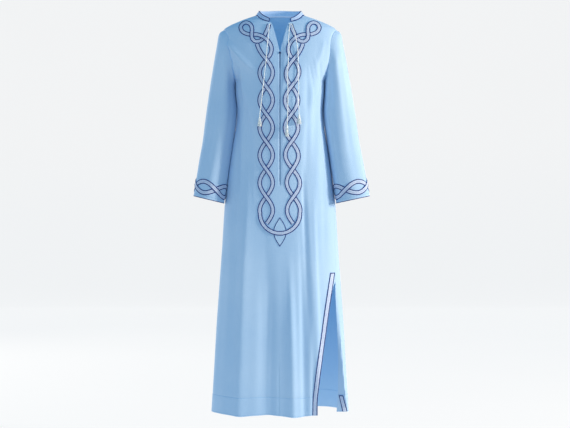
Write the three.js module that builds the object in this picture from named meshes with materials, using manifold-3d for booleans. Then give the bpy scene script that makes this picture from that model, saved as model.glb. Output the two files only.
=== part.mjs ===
// Long kaftan dress in its worn, hollow form, in millimetres.
// +X is the wearer's left, the front faces -Y and +Z is up. The origin lies midway between the
// highest points of the shoulder seams, at the base of the neck.
import * as THREE from 'three';
import { mergeVertices } from 'three/addons/utils/BufferGeometryUtils.js';
import Module from 'manifold-3d';

const wasm = await Module();
wasm.setup();

// ---- Driving dimensions

const CLOTH = 1.4; // wall of one layer of cloth
const HEM_CLOTH = 2.4; // wall where the hem is turned up
const SEAM_GAP = 0.4; // between two pieces at a seam
const ARMHOLE_GAP = 0.7;
const LIE_GAP = 0.5; // between a panel and what is sewn on it
const HEM_Z = -1350;
const HEM_TOP_Z = -1290;
const SHOULDER_Z = -40; // outer end of the shoulder seam
const NECK_SIDE_Z = 8; // inner end of the shoulder seam
const UNDERARM_Z = -225;
const CLOSURE_FOOT_Z = -578;
const SLIT_TOP_Z = -905;
const BODY_ROUNDNESS = 2.4; // exponent of the body's superelliptic sections
const FRONT_COLUMNS = 12; // cells from the centre line to a side seam
const BACK_COLUMNS = 28;
const SLIT_COLUMNS = 3; // of the back's, narrow ones beside the slit
const NARROW = 0.35; // width of a narrow column as a share of a plain one
const BACK_CROWDING = 0.06; // how much the back's columns crowd towards the side seams
const ARMHOLE_ROWS = 8;
const FRONT_TOP_Z = 7.4;
const BACK_RISE = 3; // the back's neckline rises to its middle
const BACK_RISE_Z = -20;
const HEAD_SPREAD = 0.75; // a fold is this much narrower at its head than at its foot
const FOLD_GROWTH = 1.7; // a fold that runs into the hem is fully grown after 1 / this of its way
const HALVINGS = 30; // of the range in which an angle is looked for
const COLLAR_FOOT = 1; // the collar starts this far above the neckline
const COLLAR_FRONT_LEVELS = [-21.2, -19.5, -16.5, -12, -6, 0, 5];
const COLLAR_BACK_STEP = 10; // degrees
const CAP_SHARE = 0.4; // where the sleeve's first ring lies between armhole and first section
const CAP_FULLNESS = 6; // how far that ring stands out at the top of the sleeve

const BRAID_WIDTH = 13.7;
const BRAID_THICKNESS = 1;
const BRAID_AXIS_X = 46;
const BRAID_SWING = 22;
const BRAID_TOP_Z = -153; // first crossing of the two strands
const BRAID_PITCH = 92.5; // from one crossing to the next
const FOOT_CENTRE_Z = -672; // centre of the braid's round foot
const FOOT_RADIUS = 67;
const INNER_END_Z = -706; // the inner strands end under the foot
const LEAF_TOP_Z = -685;
const LEAF_BOTTOM_Z = -784;
const LEAF_HALF_WIDTH = 22;
const LEAF_TIP = 1; // half width of the leaf's two blunt tips

const CUFF_BRAID_WIDTH = 15;
const CUFF_BRAID_SWING = 19;
const CUFF_BRAID_RISE = 38; // from the cuff's edge to the middle of its braid
const CUFF_LENSES = 4;
const CUFF_LENS_LENGTH = 83;
const CUFF_BRAID_START = 0.76; // lenses passed at the cuff's outer line
const CUFF_LIFT = 0.25; // above the usual gap
const ROLL_SHAPE = 1.3; // exponent of the rolled strip's curve
const SLIT_TRIM_WIDTH = 17;
const SLIT_TRIM_TOP_Z = -873;
const TRIM_SET_IN = 0.6;
const TRIM_END_GAP = 1; // a trim ends this far above the hem's edge
const ANGLE_STEP = 0.1; // degrees
const REAR_TRIM_TOP_X = 201; // the rear trim covers only the hem and slants outwards
const REAR_TRIM_FOOT_X = 213;
const CLOSURE_TOP_Z = -126; // foot of the V
const CLOSURE_LAP = 10; // the tape goes on below the slit
const TAPE_WIDTH = 22;
const HOOK_WIDTH = 6;
const HOOK_LENGTH = 9;
const HOOK_THICKNESS = 1.4;
const HOOK_BLUNTNESS = 0.12;
const TIE_DIAMETER = 3;
const TIE_SIDES = 8;
const STEPS_PER_TIE_POINT = 1.5;
const TASSEL_FLATNESS = 0.55; // a tassel lies a little flattened against the cloth
const THREAD_RADIUS = 0.75;
const THREAD_SIDES = 3;
const HEAD_SIDES = 10;
const HEAD_TAPER = 0.6;
const ROOT_SHARE = 0.8; // the threads' roots fill this share of the head's foot
const ROOT_DEPTH = 1;
const UNEVEN_FALL = 0.07; // threads end this share of their length above or below the middle
const FALL_RHYTHM = 5;
const GOLDEN_ANGLE = 137.5; // degrees from one thread to the next

// ---- Tables: each has a row for each section, with its named columns

function table(columns, rows) {
  return rows.map((row) => Object.fromEntries(columns.map((name, i) => [name, row[i]])));
}

// Half width, and depths from the side seams to the front and to the back.
const BODY = table(['z', 'half', 'front', 'back'], [
  [11, 78, 21, 58],
  [8, 84, 24, 60],
  [4, 95, 31, 63],
  [-7, 126, 45, 68],
  [-17, 150, 55, 73],
  [-27, 172, 62, 77],
  [-40, 192, 69, 82],
  [-64, 203, 79, 88],
  [-90, 207, 88, 94],
  [-120, 203, 98, 100],
  [-155, 192, 108, 104],
  [-190, 170, 117, 106],
  [-225, 153, 123, 106],
  [-248, 152.6, 124.6, 105.6],
  [-270, 151.5, 126, 105],
  [-294, 149, 127, 104.2],
  [-322, 147.2, 126, 102],
  [-350, 148.3, 124, 100],
  [-372, 151.2, 122, 98.6],
  [-440, 162.8, 117.6, 97],
  [-507, 173.6, 116, 98.5],
  [-570, 182.3, 116.8, 102],
  [-605, 186.6, 117.8, 105],
  [-650, 190.5, 119, 108],
  [-785, 199, 123, 115],
  [-925, 209, 127, 121],
  [-1060, 218.5, 131, 126],
  [-1200, 226.5, 134, 130],
  [-1350, 235.5, 137, 133],
]);

// Neckline and V opening: half width of the front's opening at each height.
const NECK = table(['z', 'x'], [
  [8, 84],
  [4.4, 80.5],
  [-5.5, 71.6],
  [-14.5, 57.5],
  [-20.8, 38],
  [-23, 30],
  [-28, 27],
  [-50, 20],
  [-85, 10.5],
  [-114, 3.5],
  [-128, SEAM_GAP],
  [HEM_Z, SEAM_GAP],
]);

// Armhole edges, in degrees round the body from the front's and from the back's centre line.
const ARMHOLE = table(['z', 'front', 'back'], [
  [-40, 90, 90],
  [-47, 82.5, 84],
  [-64, 76, 79],
  [-90, 72, 76],
  [-120, 70, 75],
  [-155, 69, 75],
  [-190, 72, 77],
  [-212, 79, 82],
  [-225, 90, 90],
]);

// Side seams, in degrees from the front's centre line.
const SIDE_SEAM = table(['z', 'left', 'right'], [
  [-225, 90, 90],
  [-500, 83, 89],
  [-785, 74, 88],
  [-905, 71, 87],
  [-1350, 71, 86],
]);

// Edges of the slit: the front panel's and the back panel's. The back's edge is rolled inwards by
// roll, over a strip that is breadth degrees wide.
const SLIT = table(['z', 'frontX', 'rearX', 'roll', 'breadth'], [
  [-905, 187, 188, 0, 3],
  [-924, 180, 188, 1, 3],
  [-982, 170, 190, 4, 3.5],
  [-1080, 156, 195, 9, 4.5],
  [-1163, 144, 198, 16, 6],
  [-1256, 132, 198, 27, 9],
  [-1310, 127, 197, 36, 12],
  [-1350, 126.5, 194, 42, 20],
]);

// Folds: crests have a height above 0 and troughs below. A fold with foot 1 runs into the hem.
const FOLDS = table(['headAngle', 'headZ', 'footAngle', 'footZ', 'spread', 'height', 'foot'], [
  [-42, -330, -49, -1350, 13, 11, 1],
  [-16, -760, -17, -1350, 11, -8, 1],
  [13, -770, 17, -1350, 8, 11, 1],
  [30, -600, 31, -1350, 6.5, -8, 1],
  [40, -560, 44, -1350, 7, 8, 1],
  [-72, -520, -74, -1350, 9, -6, 1],
  [-58, -160, -32, -470, 7, 5, 0],
  [-60, -215, -46, -520, 7, -5, 0],
  [57, -160, 34, -450, 7, 4, 0],
  [61, -215, 50, -540, 7, -5, 0],
  [112, -480, 108, -1350, 8, -7, 1],
  [128, -430, 126, -1350, 10, 9, 1],
  [149, -390, 147, -1350, 9, -8, 1],
  [167, -350, 169, -1350, 10, 9, 1],
  [188, -420, 187, -1350, 8, -7, 1],
  [206, -380, 208, -1350, 10, 10, 1],
  [228, -440, 231, -1350, 9, -8, 1],
  [246, -500, 250, -1350, 9, 7, 1],
]);

// Sleeve sections: outer and inner point, then the middle's and the half depth's Y.
const SLEEVE = table(['outX', 'outZ', 'inX', 'inZ', 'midY', 'depth'], [
  [217, -95, 156.5, -248, -1, 66],
  [227, -150, 154, -270, -3, 63],
  [238, -215, 150.5, -294, -6, 60],
  [249, -285, 148.5, -322, -10, 58],
  [259, -355, 152.5, -372, -15, 56],
  [268, -425, 163, -440, -21, 54],
  [280, -490, 173, -507, -27, 52],
  [290, -550, 181, -570, -33, 50],
  [295.5, -582, 186, -605, -36, 49],
  [301, -612, 190.5, -637, -40, 48],
]);

// How far the outer and the inner line of each sleeve swing out at the cuff from these sections.
const SWING = { 1: { out: 5, in: 1 }, '-1': { out: -6, in: 0 } };

// Soft folds along a sleeve: place round it in degrees from its outer line towards the front.
const SLEEVE_FOLDS = table(['angle', 'headRing', 'footRing', 'spread', 'height'], [
  [62, 2, 9, 22, -4],
  [118, 1, 7, 20, 4],
  [236, 2, 8, 24, -4],
  [300, 3, 9, 22, 3],
]);

// Collar: share of the way round from its front end to the centre back, height and lean.
const COLLAR = table(['share', 'height', 'lean'], [
  [0, 10, 28],
  [0.06, 14, 29],
  [0.15, 17.5, 31],
  [0.4, 20.5, 35],
  [0.7, 21.5, 27],
  [1, 21.5, 20],
]);

// The knot at the head of the first strand, from the collar's end to the braid's inner side:
// distance out from the centre line, height, and 1 where the strand passes over itself.
const KNOT = table(['x', 'z', 'over'], [
  [37, -29, 0],
  [41, -44, 0],
  [47, -58, 0],
  [52.5, -70, 0],
  [59, -81.5, 0],
  [70, -89.5, 0],
  [83, -90, 0.4],
  [93, -81, 1],
  [95.5, -67, 1],
  [94.5, -51, 0.9],
  [97, -38, 0.8],
  [106, -29, 0.8],
  [117, -27, 0.8],
  [127, -33, 0.7],
  [130.5, -43, 0.5],
  [125, -54, 0.2],
  [112, -61.5, 0],
  [95, -65, 0],
  [78, -66.5, 0.4],
  [62, -72, 1],
  [48, -81, 1],
  [36.5, -94, 0.3],
  [30, -107, 0],
  [28.5, -122, 0],
  [34, -139, 0],
]);

// Where the second strand starts, tucked under the knot's lower bend.
const TUCK = table(['x', 'z', 'over'], [
  [77.5, -98.5, 0],
  [73.5, -111, 0],
  [65, -128, 0.5],
  [55.5, -142, 1],
]);

// Routes of the three neck ties, from the collar's ends down to the tassels.
const TIE_ROUTES = {
  tie_1: [
    [-35, -66, -27], [-36.5, -73, -38], [-38.5, -83, -60], [-41, -92, -85], [-43.5, -99.5, -110],
    [-45.5, -107.5, -135], [-47.5, -113, -160], [-50, -118, -185], [-52.5, -122.5, -210],
    [-55.5, -126, -235], [-58.5, -128.5, -260], [-61, -130, -285], [-64, -130.5, -310],
    [-66.5, -129.5, -330], [-68.5, -127.5, -350],
  ],
  tie_2: [
    [34, -66, -27], [32, -75, -42], [30, -85, -65], [29, -94, -90], [29.5, -102, -115],
    [29, -109, -140], [27.5, -116, -165], [26, -121.5, -190], [25.5, -126, -215],
    [26, -130, -240], [26.5, -132.5, -265], [26.5, -133.5, -290], [26, -133.5, -315],
    [25.5, -132.5, -340], [24.5, -131, -362], [24, -130, -376],
  ],
  tie_3: [
    [38.5, -65.5, -27], [44, -74, -42], [50, -84.5, -64], [55, -92.5, -88], [59, -99, -112],
    [61, -105.5, -137], [61, -111.5, -162], [61, -117.5, -187], [61.5, -122.5, -212],
    [62.5, -126.5, -237], [62.5, -129, -262], [61.5, -130.5, -287], [62.5, -130, -307],
    [63.5, -129, -324], [64, -128, -340],
  ],
};
const TASSELS = table(['tie', 'headRadius', 'headLength', 'length', 'spread', 'strands'], [
  ['tie_1', 3.8, 9, 30, 7, 20],
  ['tie_2', 3.8, 10, 39, 6.5, 20],
  ['tie_3', 4, 9, 33, 8, 22],
]);

// ---- Small helpers

const DEGREE = Math.PI / 180;
const clamp = (value, low, high) => Math.min(high, Math.max(low, value));
const mix = (a, b, t) => a + (b - a) * t;
const smooth = (t) => t * t * (3 - 2 * t);
const range = (count) => Array.from({ length: count }, (_, i) => i);

// A smooth curve through two columns of a table, which never overshoots its points.
function curve(rows, input, output) {
  const points = rows.map((row) => [row[input], row[output]]).sort((p, q) => p[0] - q[0]);
  const last = points.length - 1;
  const steps = range(last).map(
    (k) => (points[k + 1][1] - points[k][1]) / (points[k + 1][0] - points[k][0]),
  );
  const slopes = points.map((_, k) => {
    if (k === 0 || k === last) return steps[Math.min(k, last - 1)];
    const [before, after] = [steps[k - 1], steps[k]];
    return before * after <= 0 ? 0 : (2 * before * after) / (before + after);
  });
  return (value) => {
    const v = clamp(value, points[0][0], points[last][0]);
    let k = 0;
    while (k < last - 1 && v > points[k + 1][0]) k += 1;
    const width = points[k + 1][0] - points[k][0];
    const t = (v - points[k][0]) / width;
    const start = points[k][1] + slopes[k] * width * t * (1 - t) ** 2;
    const end = -slopes[k + 1] * width * t * t * (1 - t);
    return start - points[k][1] + end + mix(points[k][1], points[k + 1][1], smooth(t));
  };
}

// Faces of a grid of corner numbers, row by row upwards.
function gridFaces(rows) {
  const faces = [];
  for (let i = 0; i + 1 < rows.length; i += 1) {
    for (let j = 0; j + 1 < rows[i].length; j += 1) {
      faces.push([rows[i][j], rows[i][j + 1], rows[i + 1][j + 1], rows[i + 1][j]]);
    }
  }
  return faces;
}

// Area-weighted normal at each corner.
function cornerNormals(points, faces) {
  const normals = points.map(() => new THREE.Vector3());
  for (const [a, b, c, d] of faces) {
    const across = new THREE.Vector3().subVectors(points[c], points[a]);
    const area = across.cross(new THREE.Vector3().subVectors(points[d], points[b]));
    for (const corner of [a, b, c, d]) normals[corner].add(area);
  }
  return normals.map((normal) => normal.normalize());
}

// One closed body of cloth: its outer corners, its inner corners, and walls along free edges.
function clothGeometry(outer, inner, faces) {
  const count = outer.length;
  const triangles = [];
  const edges = new Map();
  for (const face of faces) {
    const [p, q, r, t] = face.map((corner) => outer[corner]);
    const isLong = p.distanceTo(r) > q.distanceTo(t);
    const [a, b, c, d] = isLong ? [...face.slice(1), face[0]] : face;
    triangles.push(a, b, c, a, c, d);
    triangles.push(a + count, c + count, b + count, a + count, d + count, c + count);
    face.forEach((from, i) => {
      const to = face[(i + 1) % face.length];
      if (edges.has(`${to},${from}`)) edges.delete(`${to},${from}`);
      else edges.set(`${from},${to}`, [from, to]);
    });
  }
  for (const [from, to] of edges.values()) {
    triangles.push(from, from + count, to + count, from, to + count, to);
  }
  const points = [...outer, ...inner];
  const volume = range(triangles.length / 3).reduce((sum, k) => {
    const [a, b, c] = [0, 1, 2].map((i) => points[triangles[3 * k + i]]);
    return sum + a.dot(new THREE.Vector3().crossVectors(b, c));
  }, 0);
  if (volume < 0) triangles.reverse();
  const geometry = new THREE.BufferGeometry();
  geometry.setAttribute(
    'position',
    new THREE.Float32BufferAttribute(points.flatMap((p) => [p.x, p.y, p.z]), 3),
  );
  geometry.setIndex(triangles);
  return geometry;
}

// ---- The body's surface

const halfWidth = curve(BODY, 'z', 'half');
const frontDepth = curve(BODY, 'z', 'front');
const backDepth = curve(BODY, 'z', 'back');
const neckHalf = curve(NECK, 'z', 'x');
const armholeFront = curve(ARMHOLE, 'z', 'front');
const armholeBack = curve(ARMHOLE, 'z', 'back');
const seamLeft = curve(SIDE_SEAM, 'z', 'left');
const seamRight = curve(SIDE_SEAM, 'z', 'right');
const slitFrontX = curve(SLIT, 'z', 'frontX');
const slitRearX = curve(SLIT, 'z', 'rearX');
const slitRoll = curve(SLIT, 'z', 'roll');
const rollBreadth = curve(SLIT, 'z', 'breadth');

function foldHeight(angle, z) {
  return FOLDS.reduce((sum, fold) => {
    const { headAngle, headZ, footAngle, footZ, spread, height, foot } = fold;
    const along = clamp((headZ - z) / (headZ - footZ), 0, 1);
    const centre = mix(headAngle, footAngle, along);
    const turn = (((angle - centre) % 360) + 540) % 360 - 180;
    const away = turn / (spread * mix(HEAD_SPREAD, 1, along));
    const grown = foot ? smooth(Math.min(1, along * FOLD_GROWTH)) : Math.sin(Math.PI * along) ** 2;
    return sum + height * grown * Math.exp(-away * away);
  }, 0);
}

// Distance of the cloth from the body's axis, at an angle in degrees from the front centre.
function bodyRadius(angle, z) {
  const across = Math.abs(Math.sin(angle * DEGREE)) / halfWidth(z);
  const depth = Math.cos(angle * DEGREE) > 0 ? frontDepth(z) : backDepth(z);
  const through = Math.abs(Math.cos(angle * DEGREE)) / depth;
  const plain = (across ** BODY_ROUNDNESS + through ** BODY_ROUNDNESS) ** (-1 / BODY_ROUNDNESS);
  return plain + foldHeight(angle, z);
}

function bodyPoint(angle, z) {
  const radius = bodyRadius(angle, z);
  return new THREE.Vector3(
    radius * Math.sin(angle * DEGREE),
    -radius * Math.cos(angle * DEGREE),
    z,
  );
}

function surfaceNormal(point, u, v, du, dv) {
  const alongU = point(u + du, v).sub(point(u - du, v));
  const alongV = point(u, v + dv).sub(point(u, v - dv));
  return alongU.cross(alongV).normalize();
}

const bodyNormal = (angle, z) => surfaceNormal(bodyPoint, angle, z, 0.5, 1);

// Angle at which the front's cloth is x from the centre line.
function frontAngle(x, z) {
  let [low, high] = [0, 90];
  for (let i = 0; i < HALVINGS; i += 1) {
    const middle = (low + high) / 2;
    if (bodyRadius(Math.sign(x) * middle, z) * Math.sin(middle * DEGREE) < Math.abs(x)) low = middle;
    else high = middle;
  }
  return (Math.sign(x) * (low + high)) / 2;
}

const wallAt = (z) => (z < HEM_TOP_Z ? HEM_CLOTH : CLOTH);
const gapAngle = (z) => SEAM_GAP / 2 / halfWidth(z) / DEGREE;

// Heights of the rows of corners, from the hem up.
const armholeZ = (k) => mix(SHOULDER_Z, UNDERARM_Z, (1 - Math.cos((Math.PI * k) / ARMHOLE_ROWS)) / 2);
const SKIRT_ROWS = [
  HEM_Z, HEM_TOP_Z - 1, HEM_TOP_Z + 1, -1230, -1165, -1100, -1035, -975, -930, SLIT_TOP_Z,
  -850, -790, -730, -670, -625,
];
const BODICE_ROWS = [CLOSURE_FOOT_Z, -530, -480, -435, -395, -358, -322, -288, -256];
const ARMHOLE_LEVELS = range(ARMHOLE_ROWS + 1).map((k) => armholeZ(ARMHOLE_ROWS - k));
const YOKE_ROWS = [-32, -24, -16, -8, -1, 4];
const FRONT_ROWS = [...SKIRT_ROWS, ...BODICE_ROWS, ...ARMHOLE_LEVELS, ...YOKE_ROWS];
const BACK_ROWS = [
  HEM_Z, HEM_TOP_Z - 1, HEM_TOP_Z + 1, -1230, -1163, -1080, -982, SLIT_TOP_Z, -820, -730,
  -640, -560, -490, -425, -365, -310, -262, ...ARMHOLE_LEVELS, ...YOKE_ROWS,
];

// ---- Front

// Angle of the front panel's outer edge, on the wearer's left (side 1) or right (side -1).
function frontEdge(side, z) {
  if (z > SHOULDER_Z || z < UNDERARM_Z) {
    if (z > SHOULDER_Z) return 90 - gapAngle(z);
    if (side > 0 && z < SLIT_TOP_Z) return frontAngle(slitFrontX(z), z);
    return (side > 0 ? seamLeft(z) : seamRight(z)) - gapAngle(z);
  }
  return Math.min(armholeFront(z), 90 - gapAngle(z));
}

function frontPanel() {
  const levels = [...FRONT_ROWS, FRONT_TOP_Z];
  const outer = [];
  const inner = [];
  const rowsOf = { '-1': [], 1: [] };
  const centre = [];
  const add = (angle, z) => {
    const point = bodyPoint(angle, z);
    outer.push(point);
    inner.push(point.clone().addScaledVector(bodyNormal(angle, z), -wallAt(z)));
    return outer.length - 1;
  };
  for (const z of levels) {
    const joined = z <= CLOSURE_FOOT_Z;
    if (joined) centre.push(add(0, z));
    for (const side of [-1, 1]) {
      const from = joined ? 0 : Math.abs(frontAngle(side * neckHalf(z), z));
      const to = frontEdge(side, z);
      const row = range(FRONT_COLUMNS + 1).map((j) => {
        if (joined && j === 0) return centre.at(-1);
        return add(side * mix(from, to, j / FRONT_COLUMNS), z);
      });
      rowsOf[side].push(row);
    }
  }
  const leftHalf = gridFaces(rowsOf[1]);
  const rightHalf = gridFaces(rowsOf[-1].map((row) => [...row].reverse()));
  const rows = rowsOf[-1].map((row, i) => [...[...row].reverse(), ...rowsOf[1][i]]);
  const lines = rows.map((row) => row.map((corner) => outer[corner]));
  return { geometry: clothGeometry(outer, inner, [...leftHalf, ...rightHalf]), levels, lines };
}

const front = frontPanel();

// Y of the front panel's own facets at a place seen from the front.
function facetY(x, z) {
  const { levels, lines } = front;
  const i = clamp(levels.findIndex((level) => level > z) - 1, 0, levels.length - 2);
  const [below, above] = [lines[i], lines[i + 1]].map((line) => {
    const beyond = line.findIndex((point) => point.x > x);
    const k = beyond < 0 ? line.length - 1 : Math.max(1, beyond);
    const t = (x - line[k - 1].x) / Math.max(1e-6, line[k].x - line[k - 1].x);
    return mix(line[k - 1].y, line[k].y, t);
  });
  return mix(below, above, clamp((z - levels[i]) / (levels[i + 1] - levels[i]), 0, 1));
}

// A point that stands off the front panel.
function onFront(x, z, lift) {
  const normal = bodyNormal(frontAngle(x, z), z);
  return new THREE.Vector3(x, facetY(x, z), z).addScaledVector(normal, lift);
}

// ---- Back

function backEdge(side, z) {
  if (z > SHOULDER_Z) return 90 + gapAngle(z);
  if (z >= UNDERARM_Z) return Math.max(180 - armholeBack(z), 90 + gapAngle(z));
  if (side > 0 && z < SLIT_TOP_Z) return frontAngle(slitRearX(z), z);
  return (side > 0 ? seamLeft(z) : seamRight(z)) + gapAngle(z);
}

function backPoint(angle, z) {
  const point = bodyPoint(angle, z);
  if (z < SLIT_TOP_Z && angle < 120) {
    const edge = backEdge(1, z);
    point.y += slitRoll(z) * clamp(1 - (angle - edge) / rollBreadth(z), 0, 1) ** ROLL_SHAPE;
  }
  return point;
}

// Share of the way round the back at each of its columns, which crowd towards the sides.
const BACK_SHARES = range(BACK_COLUMNS + 1).map((j) => {
  const saved = SLIT_COLUMNS * (1 - NARROW);
  const share = (j < SLIT_COLUMNS ? j * NARROW : j - saved) / (BACK_COLUMNS - saved);
  return share - BACK_CROWDING * Math.sin(2 * Math.PI * share);
});

function backPanel() {
  const outer = [];
  const inner = [];
  const levels = [...BACK_ROWS, NECK_SIDE_Z];
  const rows = levels.map((level) => {
    const from = backEdge(1, level);
    const to = 360 - backEdge(-1, level);
    const risen = smooth(clamp((level - BACK_RISE_Z) / (NECK_SIDE_Z - BACK_RISE_Z), 0, 1));
    return BACK_SHARES.map((share) => {
      const angle = mix(from, to, share);
      const z = level + risen * BACK_RISE * Math.cos(angle * DEGREE) ** 2;
      const normal = surfaceNormal(backPoint, angle, z, 0.5, 1);
      outer.push(backPoint(angle, z));
      inner.push(outer.at(-1).clone().addScaledVector(normal, -wallAt(level)));
      return outer.length - 1;
    });
  });
  const lines = rows.map((row) => row.map((corner) => outer[corner]));
  return { geometry: clothGeometry(outer, inner, gridFaces(rows)), levels, lines };
}

const back = backPanel();

// A point that stands off the back panel's own facets, near the slit.
function onBack(angle, z, lift) {
  const { levels, lines } = back;
  const i = clamp(levels.findIndex((level) => level > z) - 1, 0, levels.length - 2);
  const [below, above] = [i, i + 1].map((row) => {
    const from = backEdge(1, levels[row]);
    const to = 360 - backEdge(-1, levels[row]);
    const angleOf = (j) => mix(from, to, BACK_SHARES[j]);
    let j = 1;
    while (angleOf(j) < angle) j += 1;
    const t = (angle - angleOf(j - 1)) / (angleOf(j) - angleOf(j - 1));
    return lines[row][j - 1].clone().lerp(lines[row][j], t);
  });
  const point = below.lerp(above, (z - levels[i]) / (levels[i + 1] - levels[i]));
  return point.addScaledVector(surfaceNormal(backPoint, angle, z, 0.5, 1), lift);
}

// ---- Sleeves

const SLEEVE_STEPS = 2 * ARMHOLE_ROWS;

// Corners of the armhole: outer and inner point and the way off the panel, all round.
function armholeLoop(side) {
  const places = range(SLEEVE_STEPS).map((k) => {
    const isFront = k <= ARMHOLE_ROWS;
    const z = armholeZ(isFront ? k : SLEEVE_STEPS - k);
    const angle = isFront ? armholeFront(z) : 180 - armholeBack(z);
    return [side * angle, z];
  });
  const edge = places.map(([angle, z]) => bodyPoint(angle, z));
  return places.map(([angle, z], k) => {
    const normal = bodyNormal(angle, z);
    const next = edge[(k + 1) % SLEEVE_STEPS];
    const before = edge[(k + SLEEVE_STEPS - 1) % SLEEVE_STEPS];
    const off = normal.clone().cross(next.clone().sub(before)).normalize();
    const low = Math.max(0, -Math.cos((2 * Math.PI * k) / SLEEVE_STEPS));
    const outer = edge[k].clone().addScaledVector(off, side * ARMHOLE_GAP);
    return { outer: outer.addScaledVector(normal, low * ARMHOLE_GAP), normal };
  });
}

function sleevePoint(side, ring, turn) {
  const { outZ, inZ, midY, depth } = SLEEVE[ring];
  const down = ring / (SLEEVE.length - 1);
  const outX = SLEEVE[ring].outX + SWING[side].out * down;
  const inX = SLEEVE[ring].inX + SWING[side].in * down;
  const bulge = SLEEVE_FOLDS.reduce((sum, { angle, headRing, footRing, spread, height }) => {
    const along = clamp((ring - headRing) / (footRing - headRing), 0, 1);
    const away = ((((turn - angle) % 360) + 540) % 360 - 180) / spread;
    return sum + height * Math.sin(Math.PI * along) * Math.exp(-away * away);
  }, 0);
  const [c, s] = [Math.cos(turn * DEGREE), Math.sin(turn * DEGREE)];
  const reach = 1 + bulge / depth;
  const x = (outX + inX) / 2 + ((outX - inX) / 2) * c * reach;
  const z = (outZ + inZ) / 2 + ((outZ - inZ) / 2) * c * reach;
  return new THREE.Vector3(side * x, midY - depth * s * reach, z);
}

function sleevePanel(side) {
  const loop = armholeLoop(side);
  const turns = range(SLEEVE_STEPS).map((k) => (360 * k) / SLEEVE_STEPS);
  const sections = SLEEVE.map((_, ring) => turns.map((turn) => sleevePoint(side, ring, turn)));
  const cap = turns.map((turn, k) => {
    const point = loop[k].outer.clone().lerp(sections[0][k], CAP_SHARE);
    point.x += side * CAP_FULLNESS * Math.max(0, Math.cos(turn * DEGREE));
    return point;
  });
  const rings = [loop.map(({ outer: point }) => point), cap, ...sections];
  const outer = rings.flat();
  const rows = rings.map((_, ring) =>
    range(SLEEVE_STEPS + 1).map((k) => ring * SLEEVE_STEPS + (k % SLEEVE_STEPS)),
  );
  const faces = gridFaces(side > 0 ? rows : rows.map((row) => [...row].reverse()));
  const outward = cornerNormals(outer, faces);
  const sign = Math.sign(outward[SLEEVE_STEPS].x * side);
  outward.forEach((normal) => normal.multiplyScalar(sign));
  loop.forEach(({ normal }, k) => {
    outward[k].lerp(normal, clamp(outward[k].dot(normal), 0, 1)).normalize();
  });
  const inner = outer.map((point, k) => point.clone().addScaledVector(outward[k], -CLOTH));
  return { geometry: clothGeometry(outer, inner, faces), outer, outward };
}

const sleeves = { left: sleevePanel(1), right: sleevePanel(-1) };

// A point that stands off a sleeve: corner steps round it, and distance up from the cuff's edge.
function onSleeve(sleeve, step, rise, lift) {
  const lastRing = SLEEVE.length + 1;
  const at = (list, ring, k) => list[ring * SLEEVE_STEPS + (k % SLEEVE_STEPS)];
  const k = Math.floor(step);
  const across = (list, ring) => at(list, ring, k).clone().lerp(at(list, ring, k + 1), step - k);
  let ring = lastRing;
  let left = rise;
  while (ring > 1) {
    const length = across(sleeve.outer, ring).distanceTo(across(sleeve.outer, ring - 1));
    if (left <= length) {
      const t = left / length;
      const point = across(sleeve.outer, ring).lerp(across(sleeve.outer, ring - 1), t);
      const normal = across(sleeve.outward, ring).lerp(across(sleeve.outward, ring - 1), t);
      return point.addScaledVector(normal.normalize(), lift);
    }
    left -= length;
    ring -= 1;
  }
  throw new Error('the braid runs off the sleeve');
}

// ---- Collar

function collarGeometry() {
  const half = [
    ...COLLAR_FRONT_LEVELS.map((z) => bodyPoint(frontAngle(neckHalf(z), z), z)),
    ...range(1 + 90 / COLLAR_BACK_STEP).map((k) => {
      const angle = 90 + COLLAR_BACK_STEP * k;
      return bodyPoint(angle, NECK_SIDE_Z + BACK_RISE * Math.cos(angle * DEGREE) ** 2);
    }),
  ];
  const steps = half.map((point, k) => (k ? point.distanceTo(half[k - 1]) : 0));
  const total = steps.reduce((sum, step) => sum + step, 0);
  const height = curve(COLLAR, 'share', 'height');
  const lean = curve(COLLAR, 'share', 'lean');
  let walked = 0;
  const posts = half.map((base, k) => {
    walked += steps[k];
    const share = walked / total;
    const inwards = new THREE.Vector3(-base.x, -base.y, 0).normalize();
    const tilt = lean(share) * DEGREE;
    const up = inwards.multiplyScalar(Math.sin(tilt)).add(new THREE.Vector3(0, 0, Math.cos(tilt)));
    return { base, up, height: height(share) };
  });
  const mirrored = [...posts].reverse().slice(1).map(({ base, up, height: tall }) => ({
    base: base.clone().setX(-base.x),
    up: up.clone().setX(-up.x),
    height: tall,
  }));
  const around = [...posts, ...mirrored];
  const outer = [];
  const rows = [0, 0.5, 1].map((share) =>
    around.map(({ base, up, height: tall }) => {
      outer.push(base.clone().addScaledVector(up, mix(COLLAR_FOOT, tall, share)));
      return outer.length - 1;
    }),
  );
  const faces = gridFaces(rows);
  const normals = cornerNormals(outer, faces);
  const inner = outer.map((point, k) => point.clone().addScaledVector(normals[k], -CLOTH));
  return clothGeometry(outer, inner, faces);
}

// ---- Braids: flat strands that pass over and under each other

const UNDER = LIE_GAP;
const OVER = LIE_GAP + BRAID_THICKNESS + SEAM_GAP;
const CROSSING_REACH = 25; // how far from a crossing the upper strand starts to rise
const CROSSING_STEEPNESS = 1.6;
const LINE_STEP = 9; // length of a piece of the knot's line
const WAVE_STEP = 11.5;
const OVER_SCALE = 3; // millimetres for a full step over, while a line is smoothed
const FOOT_STEPS = 24;
const LEAF_STEPS = 10;
const TRIM_STEPS = 22;
const REAR_TRIM_STEPS = 4;
const TRIM_ACROSS = 3; // cells across a slit trim
const TAPE_STEPS = 20;
const HOOK_STEPS = 6;
const FRONT_TRIM_OVER = 0.35;
const REAR_TRIM_OVER = 0.8;

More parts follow.
